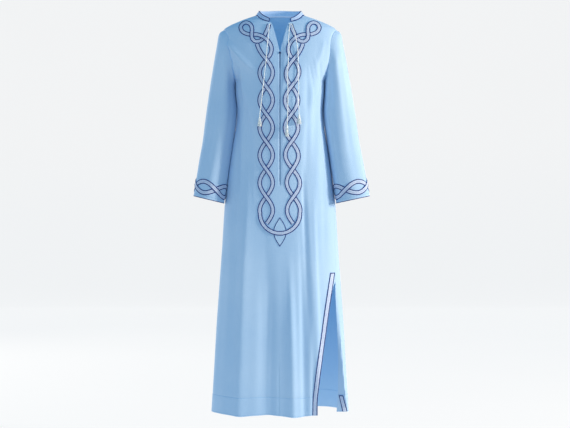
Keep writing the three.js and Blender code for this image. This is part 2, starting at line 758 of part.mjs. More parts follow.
// A strand from pairs of edge points; each place gives its two edges and its lift.
function strandGeometry(places, thickness, closed) {
  const outer = [];
  const inner = [];
  const rows = places.map(({ edges, over }) =>
    edges.map((edge) => {
      const lift = mix(UNDER, OVER, over);
      inner.push(edge(lift));
      outer.push(edge(lift + thickness));
      return outer.length - 1;
    }),
  );
  if (closed) rows.push(rows[0]);
  return clothGeometry(outer, inner, gridFaces(rows));
}

// Places along a strand drawn on the front by its middle line.
function frontStrand(middle, width) {
  return middle.map(([x, z, over], i) => {
    const [x0, z0] = middle[Math.max(0, i - 1)];
    const [x1, z1] = middle[Math.min(middle.length - 1, i + 1)];
    const length = Math.hypot(x1 - x0, z1 - z0);
    const [sideX, sideZ] = [-(z1 - z0) / length, (x1 - x0) / length];
    const edges = [-width / 2, width / 2].map(
      (out) => (lift) => onFront(x + out * sideX, z + out * sideZ, lift),
    );
    return { edges, over };
  });
}

// A smooth line through a short table of places, cut into pieces about this long.
function smoothLine(places, step) {
  const line = new THREE.CatmullRomCurve3(places.map((p) => new THREE.Vector3(...p)));
  const count = Math.round(line.getLength() / step);
  return line.getSpacedPoints(count).map((p) => [p.x, p.y, clamp(p.z / OVER_SCALE, 0, 1)]);
}

// How far a strand has risen where it has passed so many crossings: it passes over every second.
function overAt(turns, phase, pitch) {
  const nearest = Math.round(turns);
  if ((nearest % 2 === 0) === (phase > 0)) return 0;
  const near = clamp(1 - (Math.abs(turns - nearest) * pitch) / CROSSING_REACH, 0, 1);
  return smooth(Math.min(1, near * CROSSING_STEEPNESS));
}

// Middle line of one of the two waving strands: phase 1 swings outwards first, -1 inwards.
function waveLine(side, phase, endZ) {
  const count = Math.round((BRAID_TOP_Z - endZ) / WAVE_STEP);
  return range(count + 1).map((i) => {
    const z = mix(BRAID_TOP_Z, endZ, i / count);
    const turns = (BRAID_TOP_Z - z) / BRAID_PITCH;
    const x = BRAID_AXIS_X + phase * BRAID_SWING * Math.sin(Math.PI * turns);
    return [side * x, z, overAt(turns, phase, BRAID_PITCH)];
  });
}

function braidStrand(side, strand) {
  const endZ = strand === 1 ? INNER_END_Z : FOOT_CENTRE_Z + SEAM_GAP;
  const wave = waveLine(side, strand === 1 ? 1 : -1, endZ);
  const head = (strand === 1 ? KNOT : TUCK).map(({ x, z, over }) => [side * x, z, over]);
  const places = [...head, wave[0]].map(([x, z, over]) => [x, z, OVER_SCALE * over]);
  return frontStrand([...smoothLine(places, LINE_STEP).slice(0, -1), ...wave], BRAID_WIDTH);
}

function footStrand() {
  const middle = range(FOOT_STEPS + 1).map((i) => {
    const turn = Math.PI * (i / FOOT_STEPS);
    const nearEnd = (Math.min(turn, Math.PI - turn) * FOOT_RADIUS) / CROSSING_REACH;
    const [c, s] = [Math.cos(turn), Math.sin(turn)];
    return [-FOOT_RADIUS * c, FOOT_CENTRE_Z - FOOT_RADIUS * s, smooth(Math.min(1, nearEnd))];
  });
  return frontStrand(middle, BRAID_WIDTH);
}

// The pointed leaf under the braid's foot.
function leaf() {
  return range(LEAF_STEPS + 1).map((i) => {
    const t = i / LEAF_STEPS;
    const half = Math.max(LEAF_TIP, LEAF_HALF_WIDTH * Math.sin(Math.PI * t));
    const z = mix(LEAF_BOTTOM_Z, LEAF_TOP_Z, t);
    return { edges: [-half, 0, half].map((x) => (lift) => onFront(x, z, lift)), over: 0 };
  });
}

// One of the two strands round a cuff.
function cuffStrand(sleeve, phase) {
  const steps = 2 * SLEEVE_STEPS;
  return range(steps).map((i) => {
    const turns = (CUFF_LENSES * i) / steps + CUFF_BRAID_START;
    const rise = CUFF_BRAID_RISE + phase * CUFF_BRAID_SWING * Math.sin(Math.PI * turns);
    const slope = (CUFF_BRAID_SWING * Math.PI * Math.cos(Math.PI * turns)) / CUFF_LENS_LENGTH;
    const half = (CUFF_BRAID_WIDTH / 2) * Math.hypot(1, slope);
    const edges = [-half, half].map(
      (out) => (lift) => onSleeve(sleeve, i / 2, rise + out, lift + CUFF_LIFT),
    );
    return { edges, over: overAt(turns, phase, CUFF_LENS_LENGTH) };
  });
}

// ---- Slit trims, closure

const ACROSS = range(TRIM_ACROSS + 1).map((k) => k / TRIM_ACROSS);

function slitTrimFront() {
  return range(TRIM_STEPS + 1).map((i) => {
    const z = mix(HEM_Z + TRIM_END_GAP, SLIT_TRIM_TOP_Z, i / TRIM_STEPS);
    const x = slitFrontX(z) - TRIM_SET_IN;
    const edges = ACROSS.map((share) => (lift) => onFront(x + (share - 1) * SLIT_TRIM_WIDTH, z, lift));
    return { edges, over: FRONT_TRIM_OVER };
  });
}

function slitTrimRear() {
  return range(REAR_TRIM_STEPS + 1).map((i) => {
    const share = i / REAR_TRIM_STEPS;
    const z = mix(HEM_Z + 2 * TRIM_END_GAP, HEM_TOP_Z - 2 * TRIM_END_GAP, share);
    const from = frontAngle(mix(REAR_TRIM_FOOT_X, REAR_TRIM_TOP_X, share), z);
    const start = backPoint(from, z);
    let to = from;
    while (backPoint(to, z).distanceTo(start) < SLIT_TRIM_WIDTH) to += ANGLE_STEP;
    const edges = ACROSS.map((across) => (lift) => onBack(mix(from, to, across), z, lift));
    return { edges, over: REAR_TRIM_OVER };
  });
}

// The fastening tape behind the centre slit.
function closureTape() {
  const behind = -CLOTH - BRAID_THICKNESS - 2 * LIE_GAP;
  return range(TAPE_STEPS + 1).map((i) => {
    const z = mix(CLOSURE_FOOT_Z - CLOSURE_LAP, CLOSURE_TOP_Z, i / TAPE_STEPS);
    const edges = [-1, 0, 1].map((s) => (lift) => onFront((s * TAPE_WIDTH) / 2, z, behind + lift));
    return { edges, over: 0 };
  });
}

// The small hook that closes the top of the slit, at the foot of the V.
function neckHook() {
  return range(HOOK_STEPS + 1).map((i) => {
    const turn = mix(HOOK_BLUNTNESS, 1 - HOOK_BLUNTNESS, i / HOOK_STEPS) * Math.PI;
    const z = CLOSURE_TOP_Z - (HOOK_LENGTH / 2) * (1 + Math.cos(turn));
    const half = (HOOK_WIDTH / 2) * Math.sin(turn);
    return { edges: [-half, half].map((x) => (lift) => onFront(x, z, lift)), over: 0 };
  });
}

// ---- Neck ties and tassels

function tieGeometry(route) {
  const path = new THREE.CatmullRomCurve3(route.map((point) => new THREE.Vector3(...point)));
  const section = new THREE.Shape(range(TIE_SIDES).map((k) => {
    const turn = (2 * Math.PI * k) / TIE_SIDES;
    return new THREE.Vector2(Math.cos(turn), Math.sin(turn)).multiplyScalar(TIE_DIAMETER / 2);
  }));
  const steps = Math.round(STEPS_PER_TIE_POINT * route.length);
  return new THREE.ExtrudeGeometry(section, { steps, extrudePath: path });
}

function solidOf(geometry) {
  const plain = geometry.clone();
  plain.deleteAttribute('normal');
  plain.deleteAttribute('uv');
  const merged = mergeVertices(plain, 1e-4);
  const vertProperties = new Float32Array(merged.attributes.position.array);
  const triVerts = new Uint32Array(merged.index.array);
  return new wasm.Manifold(new wasm.Mesh({ numProp: 3, vertProperties, triVerts }));
}

function geometryOf(solid) {
  const mesh = solid.getMesh();
  const geometry = new THREE.BufferGeometry();
  geometry.setAttribute('position', new THREE.BufferAttribute(mesh.vertProperties, 3));
  geometry.setIndex(new THREE.BufferAttribute(mesh.triVerts, 1));
  return geometry;
}

// A round head with a bundle of threads whose roots are fused into it.
function tasselGeometry({ tie, headRadius, headLength, length, spread, strands }) {
  const [x, y, z] = TIE_ROUTES[tie].at(-1);
  const head = new THREE.CylinderGeometry(
    headRadius * HEAD_TAPER, headRadius, headLength, HEAD_SIDES,
  );
  head.rotateX(Math.PI / 2).translate(0, 0, -headLength / 2);
  let tassel = solidOf(head);
  range(strands).forEach((k) => {
    const turn = k * GOLDEN_ANGLE * DEGREE;
    const out = Math.sqrt((k + 0.5) / strands);
    const [c, s] = [out * Math.cos(turn), out * Math.sin(turn)];
    const rootRadius = headRadius * ROOT_SHARE;
    const root = new THREE.Vector3(rootRadius * c, rootRadius * s, ROOT_DEPTH - headLength);
    const fall = length * (1 - UNEVEN_FALL + UNEVEN_FALL * Math.sin(FALL_RHYTHM * k));
    const end = new THREE.Vector3(spread * c, TASSEL_FLATNESS * spread * s, -fall);
    const long = root.distanceTo(end);
    const thread = new THREE.CylinderGeometry(THREAD_RADIUS, THREAD_RADIUS, long, THREAD_SIDES);
    const way = end.clone().sub(root).normalize();
    thread.applyQuaternion(new THREE.Quaternion().setFromUnitVectors(new THREE.Vector3(0, -1, 0), way));
    thread.translate(...root.clone().add(end).multiplyScalar(0.5).toArray());
    tassel = tassel.add(solidOf(thread));
  });
  return geometryOf(tassel).translate(x, y, z - SEAM_GAP);
}

// ---- Parts

const material = (color, roughness, metalness = 0) =>
  new THREE.MeshStandardMaterial({ color, roughness, metalness, side: THREE.DoubleSide });
const COTTON = material('#a9d2ef', 0.85);
const BRAID = material('#9db8dc', 0.7);
const CORD = material('#eef4f5', 0.8);
const HOOK = material('#23407f', 0.4, 0.6);

const dress = new THREE.Group();

function addPart(name, geometry, look) {
  const part = new THREE.Mesh(geometry, look);
  part.name = name;
  dress.add(part);
}

addPart('front', front.geometry, COTTON);
addPart('back', back.geometry, COTTON);
addPart('sleeve_left', sleeves.left.geometry, COTTON);
addPart('sleeve_right', sleeves.right.geometry, COTTON);
addPart('collar', collarGeometry(), COTTON);

for (const [side, name] of [[1, 'left'], [-1, 'right']]) {
  for (const strand of [1, 2]) {
    const places = braidStrand(side, strand);
    addPart(`braid_${name}_${strand}`, strandGeometry(places, BRAID_THICKNESS, false), BRAID);
  }
}
addPart('braid_foot', strandGeometry(footStrand(), BRAID_THICKNESS, false), BRAID);
addPart('braid_leaf', strandGeometry(leaf(), BRAID_THICKNESS, false), BRAID);
for (const name of ['left', 'right']) {
  [1, -1].forEach((phase, k) => {
    const places = cuffStrand(sleeves[name], phase);
    addPart(`cuff_${name}_${k + 1}`, strandGeometry(places, BRAID_THICKNESS, true), BRAID);
  });
}
addPart('slit_trim_front', strandGeometry(slitTrimFront(), BRAID_THICKNESS, false), BRAID);
addPart('slit_trim_rear', strandGeometry(slitTrimRear(), BRAID_THICKNESS, false), BRAID);
addPart('closure_tape', strandGeometry(closureTape(), BRAID_THICKNESS, false), COTTON);
addPart('neck_hook', strandGeometry(neckHook(), HOOK_THICKNESS, false), HOOK);
for (const [name, route] of Object.entries(TIE_ROUTES)) addPart(name, tieGeometry(route), CORD);
for (const tassel of TASSELS) {
  addPart(tassel.tie.replace('tie', 'tassel'), tasselGeometry(tassel), CORD);
}

export default dress;
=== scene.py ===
"""Looks of the long kaftan dress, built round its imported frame.

Sizes are millimetres until a mesh is made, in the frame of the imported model: +X is the wearer's
left, the front faces -Y, +Z is up and the origin is at the base of the neck.
"""

import math
import random

import bpy
import numpy as np
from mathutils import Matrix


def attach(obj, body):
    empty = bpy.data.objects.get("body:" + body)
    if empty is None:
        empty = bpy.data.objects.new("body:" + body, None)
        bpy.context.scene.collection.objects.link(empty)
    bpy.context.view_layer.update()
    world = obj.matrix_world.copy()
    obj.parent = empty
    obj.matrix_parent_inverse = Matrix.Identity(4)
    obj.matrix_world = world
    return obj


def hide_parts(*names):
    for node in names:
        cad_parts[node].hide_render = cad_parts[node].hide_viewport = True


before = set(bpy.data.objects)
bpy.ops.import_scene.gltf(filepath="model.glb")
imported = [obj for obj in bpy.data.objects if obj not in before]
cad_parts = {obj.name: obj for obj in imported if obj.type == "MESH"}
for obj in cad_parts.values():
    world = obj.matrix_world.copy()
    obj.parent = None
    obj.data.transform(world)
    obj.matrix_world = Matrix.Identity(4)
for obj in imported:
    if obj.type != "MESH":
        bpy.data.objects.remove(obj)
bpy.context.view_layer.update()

# ---- Driving sizes

MM = 0.001
DEGREE = math.pi / 180

CLOTH = 1.2
HEM_CLOTH = 2.2
SEAM_GAP = 0.4
ARMHOLE_GAP = 0.7
HEM_Z = -1350
HEM_TOP_Z = -1290
HEM_FALL_Z = -1230  # the front's hem starts to hang lower under its folds from here
HEM_FALL = 120
HEM_DROPS = [(52, 40, 6), (-132, 32, 4), (-40, 20, -2)]  # place, reach and drop of each
SHOULDER_Z = -40
NECK_SIDE_Z = 8
UNDERARM_Z = -225
CLOSURE_FOOT_Z = -578
CLOSURE_TOP_Z = -126
SLIT_TOP_Z = -905
SLIT_FULLNESS = 1.45  # how much further the slit's edge rolls than its table says
BACK_FULLNESS = 1.5  # how much deeper the creases of the back are than their table says
BODY_ROUNDNESS = 2.4
FRONT_TOP_Z = 7.4
BACK_RISE = 3
BACK_RISE_Z = -20
HEAD_SPREAD = 0.75  # a fold is this much narrower at its head than at its foot
FOLD_GROWTH = 1.7
HALVINGS = 28
ARMHOLE_STEPS = 96
CAP_SHARE = 0.4
CAP_FULLNESS = 7
CAP_RISE = 7
SLEEVE_DIP = 0.39  # how far a sleeve's head lies below the body's surface
SLEEVE_STEPS = 9  # from one section of a sleeve to the next
COLLAR_FOOT = 1

BRAID_WIDTH = 15.2
BRAID_AXIS_X = 46
BRAID_SWING = 22
BRAID_TOP_Z = -153
BRAID_PITCH = 92.5
BRAID_STEP = 2.5
LINE_STEPS = 12  # from one point of a tie's or braid's route to the next
LEFT_SHIFT = 7  # how much nearer to the centre the wearer's left braid lies at the chest
SHIFT_GROWTH = 90
SHIFT_END_Z = -620
SHIFT_FADE = 200
FOOT_CENTRE_Z = -672
FOOT_RADIUS = 67
FOOT_STEPS = 88
INNER_END_Z = -706
LEAF_TOP_Z = -685
LEAF_BOTTOM_Z = -784
LEAF_HALF_WIDTH = 22
LEAF_POINT = 0.7
LEAF_STEPS = 61
LEAF_THICKNESS = 0.8  # over a braid's
CUFF_BRAID_WIDTH = 16.4
CUFF_BRAID_SWING = 19
CUFF_BRAID_RISE = 38
CUFF_LENSES = 4
CUFF_LENS_LENGTH = 83
CUFF_BRAID_START = 0.76
CUFF_BRAID_LIFT = 0.2
CUFF_BRAID_STEPS = 288
CUFF_REACH = 90  # how far up from its edge a cuff is sampled, and in what steps
CUFF_STEP = 1.5
PIPING_RADIUS = 1.35
CROSSING_REACH = 25
CROSSING_STEEPNESS = 1.6
UNDER = 0.35  # lift of a strand off the cloth
OVER = 1.9  # where it passes over another
OVER_SCALE = 3
SLIT_TRIM_WIDTH = 17
SLIT_TRIM_TOP_Z = -873
SLIT_TRIM_TOP_X = 187
TRIM_BEND_Z = -950
TRIM_SET_IN = 0.6
SLIT_TRIM_STEPS = 170
SLIT_TRIM_LIFT = 0.6
REAR_TRIM_TOP_X = 201
REAR_TRIM_FOOT_X = 213
REAR_TRIM_TURN = 12  # degrees of the back in which the rear trim ends
REAR_TRIM_STEPS = 26
REAR_TRIM_LIFT = 1.2
TAPE_HALF_WIDTH = 11
TAPE_FACE = -2.4  # lift of the closure tape's two faces off the front
TAPE_BACK = -3.3
TIE_DIAMETER = 3
TIE_SIDES = 12
TIE_TWIST = 11
TIE_STEP = 1.1
TASSEL_SIDES = 16
BINDING_SIDES = 20
BINDING_TOP = 4.7  # of a tassel's binding, down from the tie's end
BINDING_PITCH = 0.75
BINDING_RADIUS = 0.45
THREAD_RADIUS = 0.42
GOLDEN_ANGLE = 2.39996  # spreads the threads evenly over the foot of a tassel

# ---- Tables with named columns


def table(columns, rows):
    """A dict of named columns from the rows of a table."""
    return dict(zip(columns.split(), np.array(rows, float).T))


BODY = table("z half front back", [
    (11, 78, 21, 58),
    (8, 84, 24, 60),
    (4, 95, 31, 63),
    (-7, 126, 45, 68),
    (-17, 150, 55, 73),
    (-27, 172, 62, 77),
    (-40, 192, 69, 82),
    (-64, 203, 79, 88),
    (-90, 207, 88, 94),
    (-120, 203, 98, 100),
    (-155, 192, 108, 104),
    (-190, 170, 117, 106),
    (-225, 153, 123, 106),
    (-248, 152.6, 124.6, 105.6),
    (-270, 151.5, 126, 105),
    (-294, 149, 127, 104.2),
    (-322, 147.2, 126, 102),
    (-350, 148.3, 124, 100),
    (-372, 151.2, 122, 98.6),
    (-440, 162.8, 117.6, 97),
    (-507, 173.6, 116, 98.5),
    (-570, 182.3, 116.8, 102),
    (-605, 186.6, 117.8, 105),
    (-650, 190.5, 119, 108),
    (-785, 199, 123, 115),
    (-925, 209, 127, 121),
    (-1060, 218.5, 131, 126),
    (-1200, 226.5, 134, 130),
    (-1350, 235.5, 137, 133),
])
NECK = table("z x", [
    (8, 84),
    (4.4, 80.5),
    (-5.5, 71.6),
    (-14.5, 57.5),
    (-20.8, 38),
    (-23, 30),
    (-28, 27),
    (-50, 20),
    (-85, 10.5),
    (-114, 3.5),
    (-128, 1.3),
    (-170, 1.1),
    (-200, 0.6),
    (-300, 0.5),
    (-330, 0.9),
    (-560, 0.9),
    (-578, 0.4),
    (-1350, 0.4),
])
ARMHOLE = table("z front back", [
    (-40, 90, 90),
    (-47, 82.5, 84),
    (-64, 76, 79),
    (-90, 72, 76),
    (-120, 70, 75),
    (-155, 69, 75),
    (-190, 72, 77),
    (-212, 79, 82),
    (-225, 90, 90),
])
SIDE_SEAM = table("z left right", [
    (-225, 90, 90),
    (-500, 83, 89),
    (-785, 74, 88),
    (-905, 71, 87),
    (-1350, 71, 86),
])
SLIT = table("z front_x rear_x roll breadth", [
    (-905, 187, 188, 0, 3),
    (-924, 180, 188, 1, 3),
    (-982, 170, 190, 4, 3.5),
    (-1080, 156, 195, 9, 4.5),
    (-1163, 144, 198, 16, 6),
    (-1256, 132, 198, 27, 9),
    (-1310, 127, 197, 36, 12),
    (-1350, 126.5, 194, 42, 20),
])
FOLDS = table("head_angle head_z foot_angle foot_z spread height foot", [
    (-42, -330, -49, -1350, 13, 11, 1),
    (-16, -760, -17, -1350, 11, -8, 1),
    (13, -770, 17, -1350, 8, 11, 1),
    (30, -600, 31, -1350, 6.5, -8, 1),
    (40, -560, 44, -1350, 7, 8, 1),
    (-72, -520, -74, -1350, 9, -6, 1),
    (-58, -160, -32, -470, 7, 5, 0),
    (-60, -215, -46, -520, 7, -5, 0),
    (57, -160, 34, -450, 7, 4, 0),
    (61, -215, 50, -540, 7, -5, 0),
    (112, -480, 108, -1350, 8, -7, 1),
    (128, -430, 126, -1350, 10, 9, 1),
    (149, -390, 147, -1350, 9, -8, 1),
    (167, -350, 169, -1350, 10, 9, 1),
    (188, -420, 187, -1350, 8, -7, 1),
    (206, -380, 208, -1350, 10, 10, 1),
    (228, -440, 231, -1350, 9, -8, 1),
    (246, -500, 250, -1350, 9, 7, 1),
])

# Finer creases: where each starts and ends, how far it bows sideways, its breadth and height.
FRONT_CREASES = table("head_x head_z foot_x foot_z bow spread height", [
    (-200, -60, -66, -215, -6, 14, 9),
    (-196, -120, -110, -215, -4, 10, -4),
    (-160, -140, -128, -330, 4, 7, -4),
    (-142, -160, -118, -300, 3, 6, 3.4),
    (-122, -150, -140, -820, 6, 11, 4.4),
    (-146, -230, -138, -640, -3, 10, -3.2),
    (-104, -300, -96, -760, 3, 9, -1.6),
    (92, -135, 86, -640, 4, 11, -3.2),
    (98, -150, 122, -345, 3, 6, -2.0),
    (112, -120, 136, -320, 4, 6, 1.8),
    (132, -130, 140, -360, 4, 6, -2.2),
    (150, -70, 118, -190, 4, 10, 2.6),
    (128, -330, 110, -760, 6, 15, 2.4),
    (146, -430, 150, -900, 3, 10, -2.0),
    (-150, -560, -163, -1180, 5, 15, -3.4),
    (-100, -430, -152, -2000, 0, 18, 6.6),
    (-48, -520, -50, -2000, 0, 18, -1.4),
    (-64, -820, -72, -1500, 4, 12, -1.6),
    (-4, -1130, -4, -1500, 0, 3.5, -0.9),
    (22, -800, 27, -1500, 3, 11, -2.4),
    (62, -640, 80, -2000, 0, 15, 6),
    (78, -480, 104, -1200, 0, 10, -6.5),
    (110, -560, 130, -1260, 0, 10, 3.5),
    (108, -980, 122, -2000, 0, 12, -7),
    (-30, -900, -40, -1500, -5, 9, 1.3),
])
BACK_CREASES = table("head_x head_z foot_x foot_z bow spread height", [
    (-120, -120, -70, -330, -6, 10, -2.4),
    (122, -115, 74, -310, 7, 10, -2.2),
    (-104, -95, -96, -380, 4, 11, 2.0),
    (108, -100, 98, -420, -4, 11, 1.8),
    (-20, -60, -36, -420, 3, 14, 1.6),
    (16, -150, 30, -520, -4, 12, -1.8),
    (-128, -300, -112, -700, 3, 12, -2.6),
    (130, -320, 118, -760, -5, 11, 2.4),
    (-52, -430, -60, -1000, 4, 12, -2.0),
    (64, -480, 58, -1500, 3, 12, 2.2),
    (-84, -700, -96, -1500, -4, 13, 2.6),
    (8, -620, 4, -1500, 4, 11, -2.2),
    (150, -620, 164, -1180, 3, 13, -2.6),
    (-156, -640, -176, -1500, 3, 13, 2.2),
    (104, -900, 116, -1500, -3, 10, -1.9),
    (150, -110, 146, -500, -2, 8, 7.5),
    (-150, -110, -146, -500, 2, 8, 7.5),
    (154, -340, 188, -820, -3, 8, 7.5),
    (-154, -340, -188, -820, 3, 8, 7.5),
    (-22, -980, -30, -1500, 3, 9, 1.6),
])

SLEEVE = table("out_x out_z in_x in_z mid_y depth", [
    (217, -95, 152.4, -248, -1, 66),
    (227, -150, 151.2, -270, -3, 63),
    (238, -215, 148.8, -294, -6, 60),
    (249, -285, 147.4, -322, -10, 58),
    (259, -355, 151.4, -372, -15, 56),
    (268, -425, 161.6, -440, -21, 54),
    (280, -490, 171.8, -507, -27, 52),
    (290, -550, 181, -570, -33, 50),
    (295.5, -582, 186, -605, -36, 49),
    (301, -612, 190.5, -637, -40, 48),
])
SWING = {1: (5, 1), -1: (-6, 0)}  # of a sleeve's outer and inner line at the cuff
SLEEVE_FOLDS = table("angle head_ring foot_ring spread height", [
    (62, 2, 9, 22, -4),
    (118, 1, 7, 20, 4),
    (236, 2, 8, 24, -4),
    (300, 3, 9, 22, 3),
])
INNER_FRONT, INNER_SPREAD = 146, 24  # the part of a sleeve next to the body, in degrees
INNER_FORWARD = {1: 10, -1: -12}  # how far it stands forward on each side
# Finer creases of a sleeve: round it in degrees, down it as a share of its length.
SLEEVE_CREASES = {
    1: table("head_turn head foot_turn foot spread height", [
        (28, 0.02, 40, 0.6, 13, -1.9),
        (52, 0.05, 58, 0.95, 12, 1.6),
        (78, -0.02, 84, 0.8, 13, 3.4),
        (118, 0.0, 122, 0.86, 14, -4.6),
        (214, 0.04, 226, 0.7, 13, 2.0),
        (252, 0.1, 246, 0.95, 12, -2.0),
        (286, 0.05, 276, 0.8, 12, 1.8),
        (322, 0.04, 316, 0.6, 12, -1.8),
    ]),
    -1: table("head_turn head foot_turn foot spread height", [
        (32, 0.04, 36, 0.75, 12, 1.7),
        (62, 0.02, 66, 0.8, 13, -2.6),
        (92, 0.0, 92, 0.95, 14, 2.8),
        (122, -0.02, 126, 0.9, 13, -4.2),
        (208, 0.05, 222, 0.65, 13, -2.0),
        (244, 0.08, 250, 0.95, 12, 1.8),
        (280, 0.04, 290, 0.75, 12, -1.9),
        (318, 0.06, 312, 0.7, 12, 1.6),
    ]),
}
COLLAR = table("share height lean", [
    (0, 12.5, 28),
    (0.03, 16, 28.5),
    (0.08, 18, 29.5),
    (0.15, 19, 31),
    (0.4, 20.5, 35),
    (0.7, 21.5, 27),
    (1, 21.5, 20),
])

# The knot at the head of the first strand, and the tucked head of the second: distance from
# the centre line, height, share over.
KNOT = [
    (37, -29, 0), (41, -44, 0), (47, -58, 0), (52.5, -70, 0), (59, -81.5, 0), (70, -89.5, 0),
    (83, -90, 0.4), (93, -81, 1), (95.5, -67, 1), (94.5, -51, 0.9), (96.5, -37, 0.8),
    (104, -27, 0.8), (115, -22.5, 0.8), (126, -26.5, 0.7), (133, -36.5, 0.5), (131.5, -48, 0.3),
    (123.5, -57.5, 0.1), (110, -63.5, 0), (95, -66, 0), (78, -66.5, 0.4), (62, -72, 1),
    (48, -81, 1), (36.5, -94, 0.3), (30, -107, 0), (28.5, -122, 0), (34, -139, 0),
]
TUCK = [
    (77.5, -98.5, 0), (73.5, -111, 0), (65, -128, 0.5), (55.5, -142, 1),
]

# Routes of the neck ties, and what hangs on each.
TIE_ROUTES = {
    "tie_1": [
        (-35, -66, -27), (-36.5, -73, -38), (-38.5, -83, -60), (-41, -92, -85),
        (-43.5, -99.5, -110), (-45.5, -107.5, -135), (-47.5, -113, -160), (-50, -118, -185),
        (-52.5, -122.5, -210), (-55.5, -126, -235), (-58.5, -128.5, -260), (-61, -130, -285),
        (-64, -130.5, -310), (-66.5, -129.5, -330), (-68.5, -127.5, -350),
    ],
    "tie_2": [
        (34, -66, -27), (32, -75, -42), (30, -85, -65), (29, -94, -90), (29.5, -102, -115),
        (29, -109, -140), (27.5, -116, -165), (26, -121.5, -190), (25.5, -126, -215),
        (26, -130, -240), (26.5, -132.5, -265), (26.5, -133.5, -290), (26, -133.5, -315),
        (25.5, -132.5, -340), (24.5, -131, -362), (24, -130, -376),
    ],
    "tie_3": [
        (38.5, -65.5, -27), (44, -74, -42), (50, -84.5, -64), (55, -92.5, -88), (59, -99, -112),
        (61, -105.5, -137), (61, -111.5, -162), (61, -117.5, -187), (61.5, -122.5, -212),
        (62.5, -126.5, -237), (62.5, -129, -262), (61.5, -130.5, -287), (62.5, -130, -307),
        (63.5, -129, -324), (64, -128, -340),
    ],
}
TASSELS = {  # radius and length of the head, length in all, spread at the foot, threads
    "tie_1": (3.8, 9, 30, 7, 76),
    "tie_2": (3.8, 10, 39, 6.5, 76),
    "tie_3": (4, 9, 33, 8, 84),
}

# ---- Helpers: curves, points and meshes


def mix(a, b, share):
    return a + (b - a) * share


def smooth(t):
    t = np.clip(t, 0, 1)
    return t * t * (3 - 2 * t)


def bell(t):
    return np.exp(-t ** 2)


def curve(rows, source, target):
    """A smooth curve through two columns of a table, which never overshoots its points."""
    order = np.argsort(rows[source])
    x, y = rows[source][order], rows[target][order]
    steps = np.diff(y) / np.diff(x)
    before, after = steps[:-1], steps[1:]
    rising = before * after > 0
    slopes = np.concatenate([steps[:1], np.zeros(len(x) - 2), steps[-1:]])
    slopes[1:-1][rising] = (2 * before * after)[rising] / (before + after)[rising]

    def at(value):
        v = np.clip(value, x[0], x[-1])
        k = np.clip(np.searchsorted(x, v, side="right") - 1, 0, len(x) - 2)
        width = x[k + 1] - x[k]
        t = (v - x[k]) / width
        lean = slopes[k] * width * t * (1 - t) ** 2 - slopes[k + 1] * width * t * t * (1 - t)
        return lean + mix(y[k], y[k + 1], smooth(t))

    return at


def curves(rows):
    """A curve for each further column of a table, by its first one."""
    source, *targets = rows
    return [curve(rows, source, target) for target in targets]


def unit(vectors):
    return vectors / np.linalg.norm(vectors, axis=-1, keepdims=True)


def walked(points):
    """Distance along each line of points, from its start."""
    steps = np.linalg.norm(np.diff(points, axis=-2), axis=-1)
    return np.concatenate([np.zeros_like(steps[..., :1]), np.cumsum(steps, axis=-1)], axis=-1)


def rounded(points, per_piece):
    """A Catmull-Rom line through points, with so many steps between two of them."""
    p = np.array(points, float)
    p = np.concatenate([2 * p[:1] - p[1:2], p, 2 * p[-1:] - p[-2:-1]])
    t = (np.arange(per_piece) / per_piece)[:, None]
    t = t.reshape((-1,) + (1,) * (p.ndim - 1))
    pieces = []
    for a, b, c, d in zip(p, p[1:], p[2:], p[3:]):
        pieces.append(b + 0.5 * t * (c - a + t * (2 * a - 5 * b + 4 * c - d
                                                  + t * (3 * (b - c) + d - a))))
    return np.concatenate([*pieces, p[-2:-1]])


def sampled(line, far, places):
    """Points at these places of a line, whose own points are this far along it."""
    return np.stack([np.interp(places, far, column) for column in line.T], axis=1)


def spaced(line, step):
    """The same line with points about this far apart."""
    far = walked(line)
    return sampled(line, far, np.linspace(0, far[-1], max(2, round(far[-1] / step) + 1)))


def joined(grid):
    """A grid round a tube, with its first column again as its last."""
    return np.concatenate([grid, grid[:, :1]], axis=1)


def corners(grid):
    """The four corners of each cell of a grid, row by row."""
    cells = np.stack([grid[:-1, :-1], grid[:-1, 1:], grid[1:, 1:], grid[1:, :-1]], axis=2)
    return cells.reshape((-1, 4) + grid.shape[2:])


def make_mesh(name, points, faces, uv=None, marks=None, sharp=50):
    """A mesh object from points in millimetres and faces of four corners."""
    used, faces_used = np.unique(faces, return_inverse=True)
    mesh = bpy.data.meshes.new(name)
    mesh.from_pydata((points[used] * MM).tolist(), [], faces_used.reshape(faces.shape).tolist())
    if uv is not None:
        mesh.uv_layers.new(name="UVMap").data.foreach_set("uv", (uv * MM).astype("f").ravel())
    for key, values in (marks or {}).items():
        mesh.attributes.new(key, "FLOAT", "POINT").data.foreach_set(
            "value", values[used].astype("f"))
    mesh.shade_smooth()
    mesh.set_sharp_from_angle(angle=math.radians(sharp))
    made = bpy.data.objects.new(name, mesh)
    bpy.context.scene.collection.objects.link(made)
    return made


